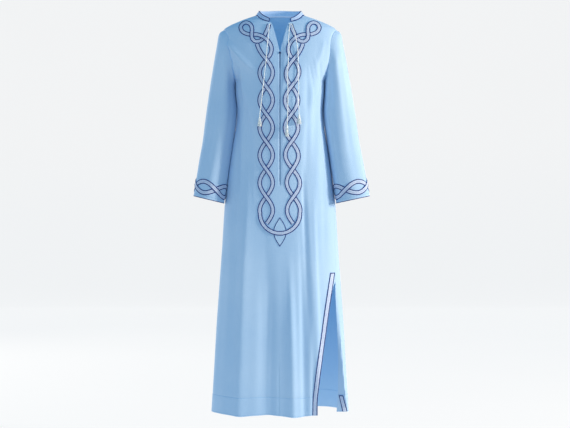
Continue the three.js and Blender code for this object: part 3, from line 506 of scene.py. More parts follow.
def shell(name, outer, inner, uv, rim=None, ids=None, keep=None):
    """A thin closed shell: the grids of ids and uv share cells, outer and inner share ids.

    Mark rim is the way to the edge, and keep names the cells that are used.
    """
    if ids is None:
        ids = np.arange(outer[..., 0].size).reshape(outer.shape[:2])
    points = np.concatenate([outer.reshape(-1, 3), inner.reshape(-1, 3)])
    count = len(points) // 2
    faces, face_uv = corners(ids), corners(uv)
    if keep is not None:
        faces, face_uv = faces[keep], face_uv[keep]
    start, end = faces.ravel(), np.roll(faces, -1, axis=1).ravel()
    free = ~np.isin(end * count + start, start * count + end)
    uv_start = face_uv.reshape(-1, 2)[free]
    uv_end = np.roll(face_uv, -1, axis=1).reshape(-1, 2)[free]
    a, b = start[free], end[free]
    side = np.stack([b, a, a + count, b + count], axis=1)
    side_uv = np.stack([uv_end, uv_start, uv_start, uv_end], axis=1)
    every = np.concatenate([faces, faces[:, ::-1] + count, side])
    every_uv = np.concatenate([face_uv, face_uv[:, ::-1], side_uv])
    p, q, r, s = (points[every[:, k]] for k in range(4))
    if np.einsum("ij,ij->", p + q + r + s, np.cross(r - p, s - q)) < 0:
        every, every_uv = every[:, ::-1], every_uv[:, ::-1]
    marks = {} if rim is None else {"rim": np.tile(rim.ravel() * MM, 2)}
    marks["inside"] = np.repeat([0.0, 1.0], count)
    return make_mesh(name, points, every, every_uv, marks, 50 if rim is None else 75)


def tube(line, radius, sides, closed=False):
    """Points and faces of a round tube along a line; radius is one number or one a point."""
    ahead = unit(np.gradient(line, axis=0))
    if closed:
        ahead = unit(np.roll(line, -1, axis=0) - np.roll(line, 1, axis=0))
    across = np.zeros_like(line)
    side = np.cross(ahead[0], (0.3, -1, 0.2))
    for k, way in enumerate(ahead):
        side = unit(side - way * (side @ way))
        across[k] = side
    up = np.cross(ahead, across)
    turn = np.arange(sides) * 2 * math.pi / sides
    size = np.broadcast_to(np.asarray(radius, float).reshape(-1, 1, 1), (len(line), 1, 1))
    ring = across[:, None] * np.cos(turn)[:, None] + up[:, None] * np.sin(turn)[:, None]
    points = (line[:, None] + ring * size).reshape(-1, 3)
    ids = joined(np.arange(len(points)).reshape(len(line), sides))
    return points, corners(np.concatenate([ids, ids[:1]]) if closed else ids)


def finish_piece(piece, look, slot, *nodes):
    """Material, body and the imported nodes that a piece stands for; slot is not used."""
    piece.data.materials.append(look)
    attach(piece, "root")
    if nodes:
        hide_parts(*nodes)
    return piece


# ---- Materials


def srgb(red, green, blue):
    """A colour from its screen values, 0 to 255, as the shaders want it."""
    return tuple(((v / 255 + 0.055) / 1.055) ** 2.4 for v in (red, green, blue)) + (1,)


class Look:
    """A material with its tree of nodes."""

    def __init__(self, name):
        self.material = bpy.data.materials.new(name)
        self.material.use_nodes = True
        self.tree = self.material.node_tree
        self.shader = self.tree.nodes["Principled BSDF"]

    def node(self, kind, inputs=None, **settings):
        made = self.tree.nodes.new("ShaderNode" + kind)
        for key, value in settings.items():
            setattr(made, key, value)
        for key, value in (inputs or {}).items():
            if isinstance(value, bpy.types.NodeSocket):
                self.tree.links.new(value, made.inputs[key])
            else:
                made.inputs[key].default_value = value
        return made

    def math(self, operation, *values):
        return self.node("Math", dict(enumerate(values)), operation=operation).outputs[0]

    def times(self, *values):
        return self.math("MULTIPLY", *values)

    def plus(self, *values):
        return self.math("ADD", *values)

    def away(self, value, centre):
        return self.math("ABSOLUTE", self.math("SUBTRACT", value, centre))

    def place(self):
        return self.node("TexCoord").outputs["Object"]

    def uv(self):
        return self.node("UVMap", uv_map="UVMap").outputs[0]

    def parts(self, vector):
        return self.node("SeparateXYZ", {0: vector}).outputs

    def mark(self, name):
        return self.node("Attribute", attribute_name=name).outputs["Fac"]

    def colour(self, share, low, high):
        return self.node("Mix", {0: share, 6: low, 7: high}, data_type="RGBA").outputs[2]

    def near(self, value, full, none):
        """1 up to full, and 0 from none on."""
        return self.ramp(value, full, none, 1.0, 0.0)

    def ramp(self, value, low, high, to_low=0.0, to_high=1.0):
        """A smooth step from low to high."""
        made = self.node("MapRange", {0: value, 1: low, 2: high, 3: to_low, 4: to_high},
                         interpolation_type="SMOOTHSTEP")
        return made.outputs[0]

    def noise(self, vector, scale, detail=2.0, roughness=0.5):
        inputs = {"Vector": vector, "Scale": scale, "Detail": detail, "Roughness": roughness}
        return self.node("TexNoise", inputs).outputs[0]

    def wave(self, value, length):
        """A sine of this length, from -1 to 1."""
        return self.math("SINE", self.times(value, 2 * math.pi / length))

    def stretched(self, vector, *scale):
        return self.node("Mapping", {"Vector": vector, "Scale": scale}).outputs[0]

    def set(self, **values):
        for key, value in values.items():
            socket = self.shader.inputs[key.replace("_", " ")]
            if isinstance(value, bpy.types.NodeSocket):
                self.tree.links.new(value, socket)
            else:
                socket.default_value = value

    def bump(self, height, strength, distance):
        made = self.node("Bump", {"Height": height, "Strength": strength, "Distance": distance})
        self.tree.links.new(made.outputs[0], self.shader.inputs["Normal"])


COTTON_LIGHT = srgb(177, 207, 236)
COTTON_DEEP = srgb(158, 194, 229)
NAVY = srgb(6, 26, 92)
# lighter navy: the braids' worn threads, and the painted gap shade of the closed line
NAVY_WORN_AND_GAP_SHADE = srgb(24, 56, 136)
LAVENDER = srgb(200, 214, 236)
LAVENDER_DEEP = srgb(166, 186, 220)
GREY_BLUE = srgb(118, 140, 180)
WHITE = srgb(240, 246, 247)
WHITE_DEEP = srgb(206, 220, 228)
STITCH_BLUE = srgb(120, 168, 214)
CLOSURE_STITCH_BLUE = srgb(104, 150, 206)
# Colour of the painted glow on the inside faces of cloth and braid
PAINTED_GLOW_BLUE = srgb(136, 200, 234)
# Sizes in the materials are metres.
THREAD_PITCH = 0.0007
HEM_STITCH = 0.0034
CUFF_HEM = 0.0095  # height of a cuff's row of stitches
CLOSURE_STITCH = 0.0042
CLOSURE_STITCH_OUT = 0.009  # of each row of stitches from the closed line
WHOLE_LINE = (-0.21, -0.17)  # below this height the painted gap shade of the closed line comes and goes in patches, and above it the line is whole
PLAIT_PITCH = 0.0016
DOT_PITCH = 0.0046
EDGE_PITCH = 0.0021
TIE_PITCH = 0.0032
THREAD_TWIST = 0.0018
PIPING_PITCH = 0.0024
BRAID_EDGE = 0.0031
LEAF_EDGE = 0.0026
PAINTED_INSIDE_GLOW = 0.14  # painted glow on the cloth's inside faces, which stands in for light that comes through the cloth
# painted glow on the inside faces of braid
BRAID_PAINTED_INSIDE_GLOW = 0.2


def cotton(name, stitches=(), closure=False):
    """Plain-woven light blue cotton, with a row of stitches at each UV height and a painted glow
    on its inside faces.
    """
    look = Look(name)
    uv = look.uv()
    u, v, _ = look.parts(uv)
    place = look.place()
    cloud = look.noise(place, 3.5, 3.0)
    slub_across = look.noise(look.stretched(uv, 30, 1400, 1), 1.0, 2.0)
    slub_along = look.noise(look.stretched(uv, 1400, 30, 1), 1.0, 2.0)
    weave = look.times(look.wave(u, THREAD_PITCH), look.wave(v, THREAD_PITCH))
    shade = look.plus(look.times(slub_across, 0.5), look.times(slub_along, 0.5))
    shade = look.plus(shade, look.times(look.ramp(cloud, 0.3, 0.7), 0.35))
    shade = look.plus(shade, look.times(weave, 0.06))
    tone = look.colour(look.ramp(shade, 0.2, 1.15), COTTON_DEEP, COTTON_LIGHT)
    height = look.plus(weave, look.times(shade, 1.5))
    for line in stitches:
        near = look.near(look.away(v, line), 0.0005, 0.0011)
        thread = look.times(near, look.ramp(look.wave(u, HEM_STITCH), -0.6, -0.2))
        tone = look.colour(look.times(thread, 0.7), tone, STITCH_BLUE)
        height = look.plus(height, look.times(thread, 3.0))
    if closure:
        tone, height = closure_line(look, u, v, tone, height)
    # The inside faces glow: painted light that stands in for light coming through the cloth.
    look.set(Base_Color=tone, Roughness=0.82, Sheen_Weight=0.12, Sheen_Roughness=0.45,
             Sheen_Tint=srgb(214, 232, 250), Specular_IOR_Level=0.25, Emission_Color=PAINTED_GLOW_BLUE,
             Emission_Strength=look.times(look.mark("inside"), PAINTED_INSIDE_GLOW))
    look.bump(height, 0.25, 0.0002)
    return look.material


def closure_line(look, u, v, tone, height):
    """The closed centre front: a painted dark line that stands in for the shaded gap and the navy
    tape seen through it, and a row of stitches on each side of it.
    """
    side = look.math("ABSOLUTE", u)
    is_closed = look.times(look.ramp(v, CLOSURE_FOOT_Z * MM, (CLOSURE_FOOT_Z + 8) * MM),
                           look.near(v, (CLOSURE_TOP_Z + 2) * MM, (CLOSURE_TOP_Z + 6) * MM))
    # The dark line is painted shade of the closed gap, with the navy tape seen through it: below,
    # it comes and goes in patches.
    gap_shade_patches = look.noise(look.node("CombineXYZ", {0: 0.0, 1: v}).outputs[0], 14.0, 1.0)
    line = look.times(look.near(side, 0.0014, 0.0022), is_closed)
    depth = look.math("MAXIMUM", look.ramp(gap_shade_patches, 0.35, 0.65, 0.5, 0.85),
                      look.ramp(v, *WHOLE_LINE))
    tone = look.colour(look.times(line, depth), tone, NAVY_WORN_AND_GAP_SHADE)
    near = look.near(look.away(side, CLOSURE_STITCH_OUT), 0.0004, 0.001)
    thread = look.times(near, look.ramp(look.wave(v, CLOSURE_STITCH), -0.6, 0.0))
    thread = look.times(thread, is_closed)
    tone = look.colour(look.times(thread, 0.55), tone, CLOSURE_STITCH_BLUE)
    return tone, look.plus(height, look.times(thread, 3.0))


def braid(name, light, deep, dotted=True, edge=BRAID_EDGE):
    """Braid with navy corded edges and a painted glow on its inside faces: UV is across and along
    it, mark rim the way to its edge.
    """
    look = Look(name)
    uv = look.uv()
    u, v, _ = look.parts(uv)
    side = look.math("ABSOLUTE", u)
    uneven = look.noise(look.stretched(uv, 200, 90, 1), 1.0, 2.0)
    reach = look.plus(look.mark("rim"), look.times(look.math("SUBTRACT", uneven, 0.5), 0.0009))
    inside = look.mark("inside")
    is_edge = look.times(look.near(reach, edge - 0.0002, edge + 0.0002),
                         look.near(inside, 0.5, 0.9))
    plait = look.wave(look.plus(v, look.times(side, 0.8)), PLAIT_PITCH)
    fill = look.colour(look.ramp(look.plus(plait, look.times(uneven, 2)), -0.4, 2.2), deep, light)
    if dotted:
        dots = look.times(look.near(side, 0.0004, 0.0008),
                          look.ramp(look.wave(v, DOT_PITCH), -0.5, 0.0))
        fill = look.colour(look.times(dots, 0.8), fill, GREY_BLUE)
    cord = look.wave(look.plus(v, look.times(u, 0.9)), EDGE_PITCH)
    navy = look.colour(look.ramp(look.plus(cord, uneven), -0.6, 1.6), NAVY, NAVY_WORN_AND_GAP_SHADE)
    height = look.colour(is_edge, look.times(plait, 0.5), cord)
    # The inside faces glow: painted light that stands in for light coming through the braid.
    look.set(Base_Color=look.colour(is_edge, fill, navy), Roughness=0.75, Sheen_Weight=0.04,
             Sheen_Roughness=0.5, Specular_IOR_Level=0.3, Emission_Color=PAINTED_GLOW_BLUE,
             Emission_Strength=look.times(inside, BRAID_PAINTED_INSIDE_GLOW))
    look.bump(height, 0.35, 0.0003)
    return look.material


def corded(name, light, deep, pitch, roughness=0.75):
    """Twisted cord or thread, by its place in the part."""
    look = Look(name)
    place = look.place()
    x, y, z = look.parts(place)
    fibre = look.noise(look.stretched(place, 900, 900, 260), 1.0, 2.0)
    ply = look.wave(look.plus(z, look.times(look.plus(x, y), 0.7)), pitch)
    share = look.ramp(look.plus(ply, look.times(fibre, 2.0)), -0.6, 2.4)
    look.set(Base_Color=look.colour(share, deep, light), Roughness=roughness,
             Sheen_Weight=0.3, Sheen_Roughness=0.5)
    look.bump(look.plus(ply, fibre), 0.3, 0.0003)
    return look.material


def enamel(name):
    """Dark blue enamel, with a little wear."""
    look = Look(name)
    wear = look.noise(look.place(), 700.0, 3.0)
    tone = look.colour(look.ramp(wear, 0.5, 0.75), srgb(24, 44, 96), srgb(60, 86, 140))
    look.set(Base_Color=tone, Roughness=look.ramp(wear, 0.3, 0.7, 0.3, 0.5), Metallic=0.4)
    look.bump(wear, 0.15, 0.0001)
    return look.material


def pale_sheet(name, paint):
    """The floor and backdrop, which glow and are dimmer towards the front."""
    look = Look(name)
    place = look.place()
    _, y, _ = look.parts(place)
    glow = look.plus(look.ramp(y, -2.2, 0.3, 0.53, 0.79), look.times(look.noise(place, 1.2), 0.01))
    look.set(Base_Color=paint, Roughness=0.9, Emission_Color=(1, 1, 1, 1), Emission_Strength=glow)
    return look.material


# ---- Camera, floor and light

CAMERA_PLACE = (0.017, -5.2, -0.674)
LENS = 95.5
FLOOR_Z = -1.47
SWEEP_RADIUS = 1.5
SWEEP_Y = 7.5
STAGE_REACH = 14
STAGE_TOP_Z = 6

camera = bpy.data.objects.new("camera", bpy.data.cameras.new("camera"))
camera.data.lens = LENS
camera.location = CAMERA_PLACE
camera.rotation_euler = (math.pi / 2, 0, 0)
bpy.context.scene.collection.objects.link(camera)
bpy.context.scene.camera = camera
bpy.context.scene.view_settings.view_transform = "Standard"


def make_stage():
    """A pale floor that sweeps up into the backdrop."""
    bend = [(SWEEP_Y + SWEEP_RADIUS * math.sin(t), FLOOR_Z + SWEEP_RADIUS * (1 - math.cos(t)))
            for t in np.linspace(0, math.pi / 2, 13)]
    line = [(-STAGE_REACH, FLOOR_Z), *bend, (SWEEP_Y + SWEEP_RADIUS, STAGE_TOP_Z)]
    rows = np.array([[(x, y, z) for x in (-STAGE_REACH, STAGE_REACH)] for y, z in line]) / MM
    ids = np.arange(2 * len(line)).reshape(-1, 2)
    floor = make_mesh("stage_floor", rows.reshape(-1, 3), corners(ids), sharp=80)
    floor.data.materials.append(pale_sheet("pale_floor", srgb(96, 96, 96)))


def add_light(name, place, target, size, energy, colour):
    """A round soft lamp turned to its target."""
    lamp = bpy.data.lights.new(name, "AREA")
    lamp.shape, lamp.size, lamp.energy, lamp.color = "DISK", size, energy, colour
    made = bpy.data.objects.new(name, lamp)
    made.location = place
    made.visible_camera = False
    x, y, z = unit(np.array(target) - np.array(place))
    made.rotation_euler = (math.acos(-z), 0, math.atan2(-x, y))
    bpy.context.scene.collection.objects.link(made)


def make_sky():
    """A world that is pale near the horizon and bluer higher up."""
    world = bpy.data.worlds.new("studio")
    world.use_nodes = True
    nodes, links = world.node_tree.nodes, world.node_tree.links
    up = nodes.new("ShaderNodeSeparateXYZ")
    links.new(nodes.new("ShaderNodeTexCoord").outputs["Generated"], up.inputs[0])
    ramp = nodes.new("ShaderNodeValToRGB")
    for element, position, colour in zip(ramp.color_ramp.elements, (0.1, 0.3),
                                         ((0.8, 0.83, 0.86, 1), (0.22, 0.46, 0.64, 1))):
        element.position, element.color = position, colour
    links.new(up.outputs["Z"], ramp.inputs[0])
    links.new(ramp.outputs[0], nodes["Background"].inputs[0])
    bpy.context.scene.world = world


make_stage()
make_sky()
add_light("key", (4.38, -1.17, 0.4), (0, 0, -0.65), 0.9, 240, (1, 0.81, 0.64))
add_light("fill", (-2.6, -4.0, 0.4), (0, 0, -0.7), 3.0, 14, (0.75, 0.88, 1))
add_light("behind", (-3.0, 3.6, 0.5), (0, 0, -0.65), 0.9, 60, (1, 0.86, 0.72))

# ---- Neck ties, which are the cords, with their tassels

WHITE_CORD = corded("white_cord", WHITE, WHITE_DEEP, TIE_PITCH)
WHITE_THREAD = corded("white_thread", WHITE, WHITE_DEEP, THREAD_TWIST, 0.8)


def tie_cord(name):
    """A cord of three strands twisted together, as a mesh tube along its route."""
    line = spaced(rounded(TIE_ROUTES[name], LINE_STEPS), TIE_STEP)
    far = walked(line)
    points, faces = tube(line, TIE_DIAMETER / 2, TIE_SIDES)
    rings = points.reshape(len(line), TIE_SIDES, 3)
    turn = np.arange(TIE_SIDES) * 2 * math.pi / TIE_SIDES
    lobes = np.abs(np.cos(1.5 * (turn[None] - far[:, None] * 2 * math.pi / TIE_TWIST)))
    rings = line[:, None] + (rings - line[:, None]) * (0.8 + 0.2 * lobes[..., None])
    piece = make_mesh(name.replace("tie", "neck_cord"), rings.reshape(-1, 3), faces, sharp=180)
    return finish_piece(piece, WHITE_CORD, "cord", name), line * MM


def tassel(name):
    """A bound head with its threads, which hang flared and a little flattened."""
    head_radius, head_length, length, spread, threads = TASSELS[name]
    x, y, z = TIE_ROUTES[name][-1]
    draw = random.Random(int(name[-1]))
    groups = []
    profile = rounded([
        (0.2, 1.6), (1.9, 1.0), (2.1, -0.6), (head_radius * 0.72, -1.6),
        (head_radius * 0.98, -3.2), (head_radius * 0.86, -4.6), (head_radius * 0.84, -6.6),
        (head_radius, -7.6), (head_radius * 1.02, -head_length), (0.3, -head_length - 0.5),
    ], 4)
    turn = np.arange(TASSEL_SIDES) * 2 * math.pi / TASSEL_SIDES
    rings = np.stack([profile[:, :1] * np.cos(turn), profile[:, :1] * np.sin(turn),
                      np.repeat(profile[:, 1:], TASSEL_SIDES, axis=1)], axis=2)
    ids = np.arange(len(profile) * TASSEL_SIDES).reshape(-1, TASSEL_SIDES)
    groups.append((rings.reshape(-1, 3), corners(joined(ids))))
    ring = np.arange(BINDING_SIDES) * 2 * math.pi / BINDING_SIDES
    band = head_radius * 0.9
    for k in range(4):  # the binding's turns
        line = np.stack([band * np.cos(ring), band * np.sin(ring),
                         np.full(BINDING_SIDES, -BINDING_TOP - BINDING_PITCH * k)], axis=1)
        groups.append(tube(line, BINDING_RADIUS, 6, closed=True))
    for k in range(threads):
        out = math.sqrt((k + 0.5) / threads)
        way = GOLDEN_ANGLE * k + draw.uniform(-0.2, 0.2)
        c, s = out * math.cos(way), out * math.sin(way)
        fall = length * draw.uniform(0.9, 1.0)
        sway = draw.uniform(-0.8, 0.8)
        root = head_radius * 0.8
        places = [(root * c, root * s, -head_length + 1.5)]
        for t in (0.3, 0.65, 1.0):
            wide = mix(root, spread, t ** 0.8)
            places.append((wide * c + sway * math.sin(3 * t), 0.6 * wide * s + 0.5 * sway * t,
                           mix(-head_length, -fall, t)))
        groups.append(tube(rounded(places, 3), THREAD_RADIUS, 5))
    points = np.concatenate([group[0] for group in groups]) + (x, y, z)
    starts = np.cumsum([0] + [len(group[0]) for group in groups[:-1]])
    faces = np.concatenate([group[1] + start for group, start in zip(groups, starts)])
    piece = make_mesh(name.replace("tie", "neck_tassel"), points, faces, sharp=60)
    return finish_piece(piece, WHITE_THREAD, "cord", name.replace("tie", "tassel"))


for name in TIE_ROUTES:
    cord, path = tie_cord(name)
    tassel(name)

# ---- The body's surface

half_width, front_depth, back_depth = curves(BODY)
neck_half, = curves(NECK)
armhole_front, armhole_back = curves(ARMHOLE)
seam_left, seam_right = curves(SIDE_SEAM)
slit_front_x, slit_rear_x, slit_roll, roll_breadth = curves(SLIT)


def turned(angle, start):
    """The turn from start to an angle, between half a turn back and half a turn on."""
    return (angle - start + 540) % 360 - 180


def faded(along):
    """A crease grows from its head and dies out towards its foot."""
    return smooth(along / 0.3) * smooth((1 - along) / 0.4)


def fold_height(angle, z):
    total = 0
    for head_angle, head_z, foot_angle, foot_z, spread, height, foot in zip(*FOLDS.values()):
        along = np.clip((head_z - z) / (head_z - foot_z), 0, 1)
        away = turned(angle, mix(head_angle, foot_angle, along)) / (
            spread * mix(HEAD_SPREAD, 1, along))
        grown = smooth(along * FOLD_GROWTH) if foot else np.sin(math.pi * along) ** 2
        total = total + height * grown * bell(away)
    return total


def crease_height(x, z, creases):
    total = 0
    for head_x, head_z, foot_x, foot_z, bow, spread, height in zip(*creases.values()):
        along = (head_z - z) / (head_z - foot_z)
        inside = np.clip(along, 0, 1)
        centre = mix(head_x, foot_x, inside) + bow * np.sin(math.pi * inside)
        away = (x - centre) / (spread * mix(0.65, 1.1, inside))
        total = total + height * faded(along) * bell(away)
    return total


def body_radius(angle, z):
    c, s = np.cos(angle * DEGREE), np.sin(angle * DEGREE)
    depth = np.where(c > 0, front_depth(z), back_depth(z))
    flat = (np.abs(s) / half_width(z)) ** BODY_ROUNDNESS + (np.abs(c) / depth) ** BODY_ROUNDNESS
    radius = flat ** (-1 / BODY_ROUNDNESS)
    x = radius * s
    creases = np.where(c > 0, crease_height(x, z, FRONT_CREASES),
                       crease_height(x, z, BACK_CREASES) * BACK_FULLNESS)
    return radius + fold_height(angle, z) + creases * smooth(np.abs(c) / 0.35)


def body_point(angle, z):
    radius = body_radius(angle, z)
    return np.stack(np.broadcast_arrays(radius * np.sin(angle * DEGREE),
                                        -radius * np.cos(angle * DEGREE), z), axis=-1)


def surface_normal(point, u, v, du=0.5, dv=1):
    along_u = point(u + du, v) - point(u - du, v)
    along_v = point(u, v + dv) - point(u, v - dv)
    return unit(np.cross(along_u, along_v))


def front_angle(x, z):
    """Angle at which the front's cloth is x from the centre line."""
    x, z = np.broadcast_arrays(np.asarray(x, float), np.asarray(z, float))
    sign = np.where(x < 0, -1, 1)
    low, high = np.zeros(x.shape), np.full(x.shape, 90.0)
    for _ in range(HALVINGS):
        middle = (low + high) / 2
        short = body_radius(sign * middle, z) * np.sin(middle * DEGREE) < np.abs(x)
        low, high = np.where(short, middle, low), np.where(short, high, middle)
    return sign * (low + high) / 2


def gap_angle(z):
    return SEAM_GAP / 2 / half_width(z) / DEGREE


def on_front(x, z, lift):
    """Points that stand off the front, by its places seen from the front."""
    angle = front_angle(x, z)
    normal = surface_normal(body_point, angle, z)
    return body_point(angle, z) + normal * np.asarray(lift)[..., None]


FRONT, BACK = -1, 1


def panel_edge(side, z, way):
    """Angle of a panel's edge; way is FRONT or BACK."""
    gap = way * gap_angle(z)
    seam = (seam_left(z) if side > 0 else seam_right(z)) + gap
    if side > 0:
        slit_x = slit_front_x(z) if way == FRONT else slit_rear_x(z)
        seam = np.where(z < SLIT_TOP_Z, front_angle(slit_x, z), seam)
    if way == FRONT:
        armhole = np.minimum(armhole_front(z), 90 + gap)
    else:
        armhole = np.maximum(180 - armhole_back(z), 90 + gap)
    return np.where(z > SHOULDER_Z, 90 + gap, np.where(z < UNDERARM_Z, seam, armhole))


def back_point(angle, z):
    point = body_point(angle, z)
    level = np.minimum(z, SLIT_TOP_Z)
    from_edge = (angle - panel_edge(1, level, BACK)) / roll_breadth(level)
    is_rolled = (z < SLIT_TOP_Z) & (angle < 120)
    point[..., 1] += is_rolled * slit_roll(level) * np.clip(1 - from_edge, 0, 1) * SLIT_FULLNESS
    return point


def heights(stretches):
    """Rows from the bottom up: each stretch is its upper end and about the step within it."""
    rows = [float(HEM_Z)]
    for top, step in stretches:
        count = max(1, round((top - rows[-1]) / step))
        rows += list(np.linspace(rows[-1], top, count + 1)[1:])
    return np.array(rows)


FRONT_STRETCHES = [
    (HEM_Z + 4, 2), (HEM_TOP_Z - 4, 6), (HEM_TOP_Z + 4, 1.6), (SLIT_TOP_Z, 6),
    (CLOSURE_FOOT_Z, 6), (UNDERARM_Z, 5.5), (SHOULDER_Z, 4), (-30, 2), (FRONT_TOP_Z, 1.1),
]
BACK_STRETCHES = [*FRONT_STRETCHES[:4], (UNDERARM_Z, 6), (SHOULDER_Z, 4.5), (NECK_SIDE_Z, 2.4)]
NEAR_EDGE = np.array([0, 0.8, 1.8, 3.2, 5.2, 8])  # columns close to an edge, in millimetres
FRONT_COLUMNS = 52  # of each half, besides those near its edges
BACK_COLUMNS = 108
FRONT_BULGE = 1.12  # width along a half of the front, over its straight width
BACK_WRAP = 2.6  # width along the back, over the body's half width
SEAM_DIP = 1.3
SIDE_DIP = 0.3
SEAM_REACH = 4
STITCH_DIP = 0.7
STITCH_REACH = 2.2
CLOSURE_DIP = 1.5
CLOSURE_REACH = 2.4


def column_shares(width, middle):
    """Shares across a row at which its columns stand: close together at both edges."""
    near = NEAR_EDGE[None] * np.minimum(1, width / 70)[:, None] / width[:, None]
    between = np.linspace(0, 1, middle + 2)[None, 1:-1]
    inner = mix(near[:, -1:], 1 - near[:, -1:], between)
    return np.concatenate([near, inner, 1 - near[:, ::-1]], axis=1)


def cloth_faces(point, normal, relief, z):
    """Outer and inner face of a panel, which is thicker where its hem is turned up."""
    wall = mix(HEM_CLOTH, CLOTH, smooth((z - HEM_TOP_Z + 2) / 4))
    return point + normal * relief[..., None], point - normal * wall[..., None]


def hem_relief(z):
    """The turned-up hem stands proud, and its row of stitches pulls the cloth in."""
    proud = 0.5 * (1 - smooth((z - HEM_TOP_Z + 2) / 5))
    return proud - STITCH_DIP * bell((z - HEM_TOP_Z - 1) / STITCH_REACH)


def hem_drop(x):
    """How much lower the front's hem hangs under its folds."""
    return sum(drop * bell((x - place) / reach) for place, reach, drop in HEM_DROPS)


def front_panel():
    z = heights(FRONT_STRETCHES)
    is_joined = z <= CLOSURE_FOOT_Z
    grids = []
    for side in (1, -1):
        start = np.where(is_joined, 0, np.abs(front_angle(side * neck_half(z), z)))
        end = panel_edge(side, z, FRONT)
        ends = np.linalg.norm(body_point(side * end, z) - body_point(side * start, z), axis=1)
        share = column_shares(ends * FRONT_BULGE, FRONT_COLUMNS)
        angle = side * mix(start[:, None], end[:, None], share)
        level = np.broadcast_to(z[:, None], angle.shape)
        point = body_point(angle, level)
        normal = surface_normal(body_point, angle, level)
        far = walked(point)
        to_edge = far[:, -1:] - far
        is_seam = ((level > SLIT_TOP_Z) | (side < 0)) & (level < FRONT_TOP_Z + 1)
        dip = np.where(level < UNDERARM_Z, SIDE_DIP, SEAM_DIP) * is_seam
        relief = hem_relief(level) - dip * bell(to_edge / SEAM_REACH)
        is_slit = (level > CLOSURE_FOOT_Z + 4) & (level < CLOSURE_TOP_Z + 8)
        relief = relief - CLOSURE_DIP * is_slit * bell(far / CLOSURE_REACH)
        outer, inner = cloth_faces(point, normal, relief, level)
        for grid in (outer, inner):
            grid[..., 2] -= hem_drop(grid[..., 0]) * smooth((HEM_FALL_Z - level) / HEM_FALL)
        uv = np.stack([side * (far + neck_half(level)), level], axis=-1)
        grids.append((outer, inner, uv))
    outer, inner, uv = (np.stack(grid) for grid in zip(*grids))
    left, right = np.arange(outer[..., 0].size).reshape(outer.shape[:3])
    right[is_joined, 0] = left[is_joined, 0]
    columns = left.shape[1]  # the cells between the halves are left out
    cells = np.arange((len(z) - 1) * (2 * columns - 1)) % (2 * columns - 1)
    return shell("cloth_front", outer, inner, np.concatenate([uv[1][:, ::-1], uv[0]], axis=1),
                 ids=np.concatenate([right[:, ::-1], left], axis=1), keep=cells != columns - 1)


def back_panel():
    levels = heights(BACK_STRETCHES)
    start, end = panel_edge(1, levels, BACK), 360 - panel_edge(-1, levels, BACK)
    width = half_width(levels) * BACK_WRAP
    angle = mix(start[:, None], end[:, None], column_shares(width, BACK_COLUMNS))
    level = np.broadcast_to(levels[:, None], angle.shape)
    risen = smooth((level - BACK_RISE_Z) / (NECK_SIDE_Z - BACK_RISE_Z))
    z = level + risen * BACK_RISE * np.cos(angle * DEGREE) ** 2
    point = back_point(angle, z)
    normal = surface_normal(back_point, angle, z)
    far = walked(point)
    to_right = far[:, -1:] - far
    dip = (level > SLIT_TOP_Z) * bell(far / SEAM_REACH) + bell(to_right / SEAM_REACH)
    dip = dip * np.where(level < UNDERARM_Z, SIDE_DIP, SEAM_DIP)
    outer, inner = cloth_faces(point, normal, hem_relief(level) - dip, level)
    return shell("cloth_back", outer, inner, np.stack([far - far[:, -1:] / 2, level], axis=-1))


HEM_STITCHES = [HEM_TOP_Z * MM, (HEM_Z + 4) * MM]
FRONT_COTTON = cotton("front_cotton", HEM_STITCHES, closure=True)
BACK_COTTON = cotton("back_cotton", HEM_STITCHES)
front = finish_piece(front_panel(), FRONT_COTTON, "cotton", "front")
back = finish_piece(back_panel(), BACK_COTTON, "cotton", "back")

# ---- Sleeves


def armhole_rows(k):
    """Height of the armhole at each step from its top to the underarm and back up."""
    down = np.minimum(k, ARMHOLE_STEPS - k) / (ARMHOLE_STEPS / 2)
    return mix(SHOULDER_Z, UNDERARM_Z, (1 - np.cos(math.pi * down)) / 2)


def armhole_loop(side):
    k = np.arange(ARMHOLE_STEPS)
    z = armhole_rows(k)
    angle = side * np.where(k <= ARMHOLE_STEPS / 2, armhole_front(z), 180 - armhole_back(z))
    edge = body_point(angle, z)
    normal = surface_normal(body_point, angle, z)
    off = unit(np.cross(normal, np.roll(edge, -1, axis=0) - np.roll(edge, 1, axis=0)))
    low = np.maximum(0, -np.cos(2 * math.pi * k / ARMHOLE_STEPS))[:, None]
    return edge + off * side * ARMHOLE_GAP + normal * (low * ARMHOLE_GAP - SLEEVE_DIP)


def sleeve_section(side, ring, turn):
    out_x, out_z, in_x, in_z, mid_y, depth = (column[ring] for column in SLEEVE.values())
    down = ring / (len(SLEEVE["out_x"]) - 1)
    out_x = out_x + SWING[side][0] * down
    in_x = in_x + SWING[side][1] * down
    bulge = 0
    for angle, head_ring, foot_ring, spread, height in zip(*SLEEVE_FOLDS.values()):
        along = np.clip((ring - head_ring) / (foot_ring - head_ring), 0, 1)
        away = turned(turn, angle) / spread
        bulge = bulge + height * np.sin(math.pi * along) * bell(away)
    c, s = np.cos(turn * DEGREE), np.sin(turn * DEGREE)
    reach = 1 + bulge / depth
    x = (out_x + in_x) / 2 + (out_x - in_x) / 2 * c * reach
    z = (out_z + in_z) / 2 + (out_z - in_z) / 2 * c * reach
    return np.stack([side * x, mid_y - depth * s * reach, z], axis=-1)


def grid_normals(points):
    """Normals of a tube's grid of points, whose columns close on themselves."""
    around = np.roll(points, -1, axis=1) - np.roll(points, 1, axis=1)
    return unit(np.cross(around, np.gradient(points, axis=0)))


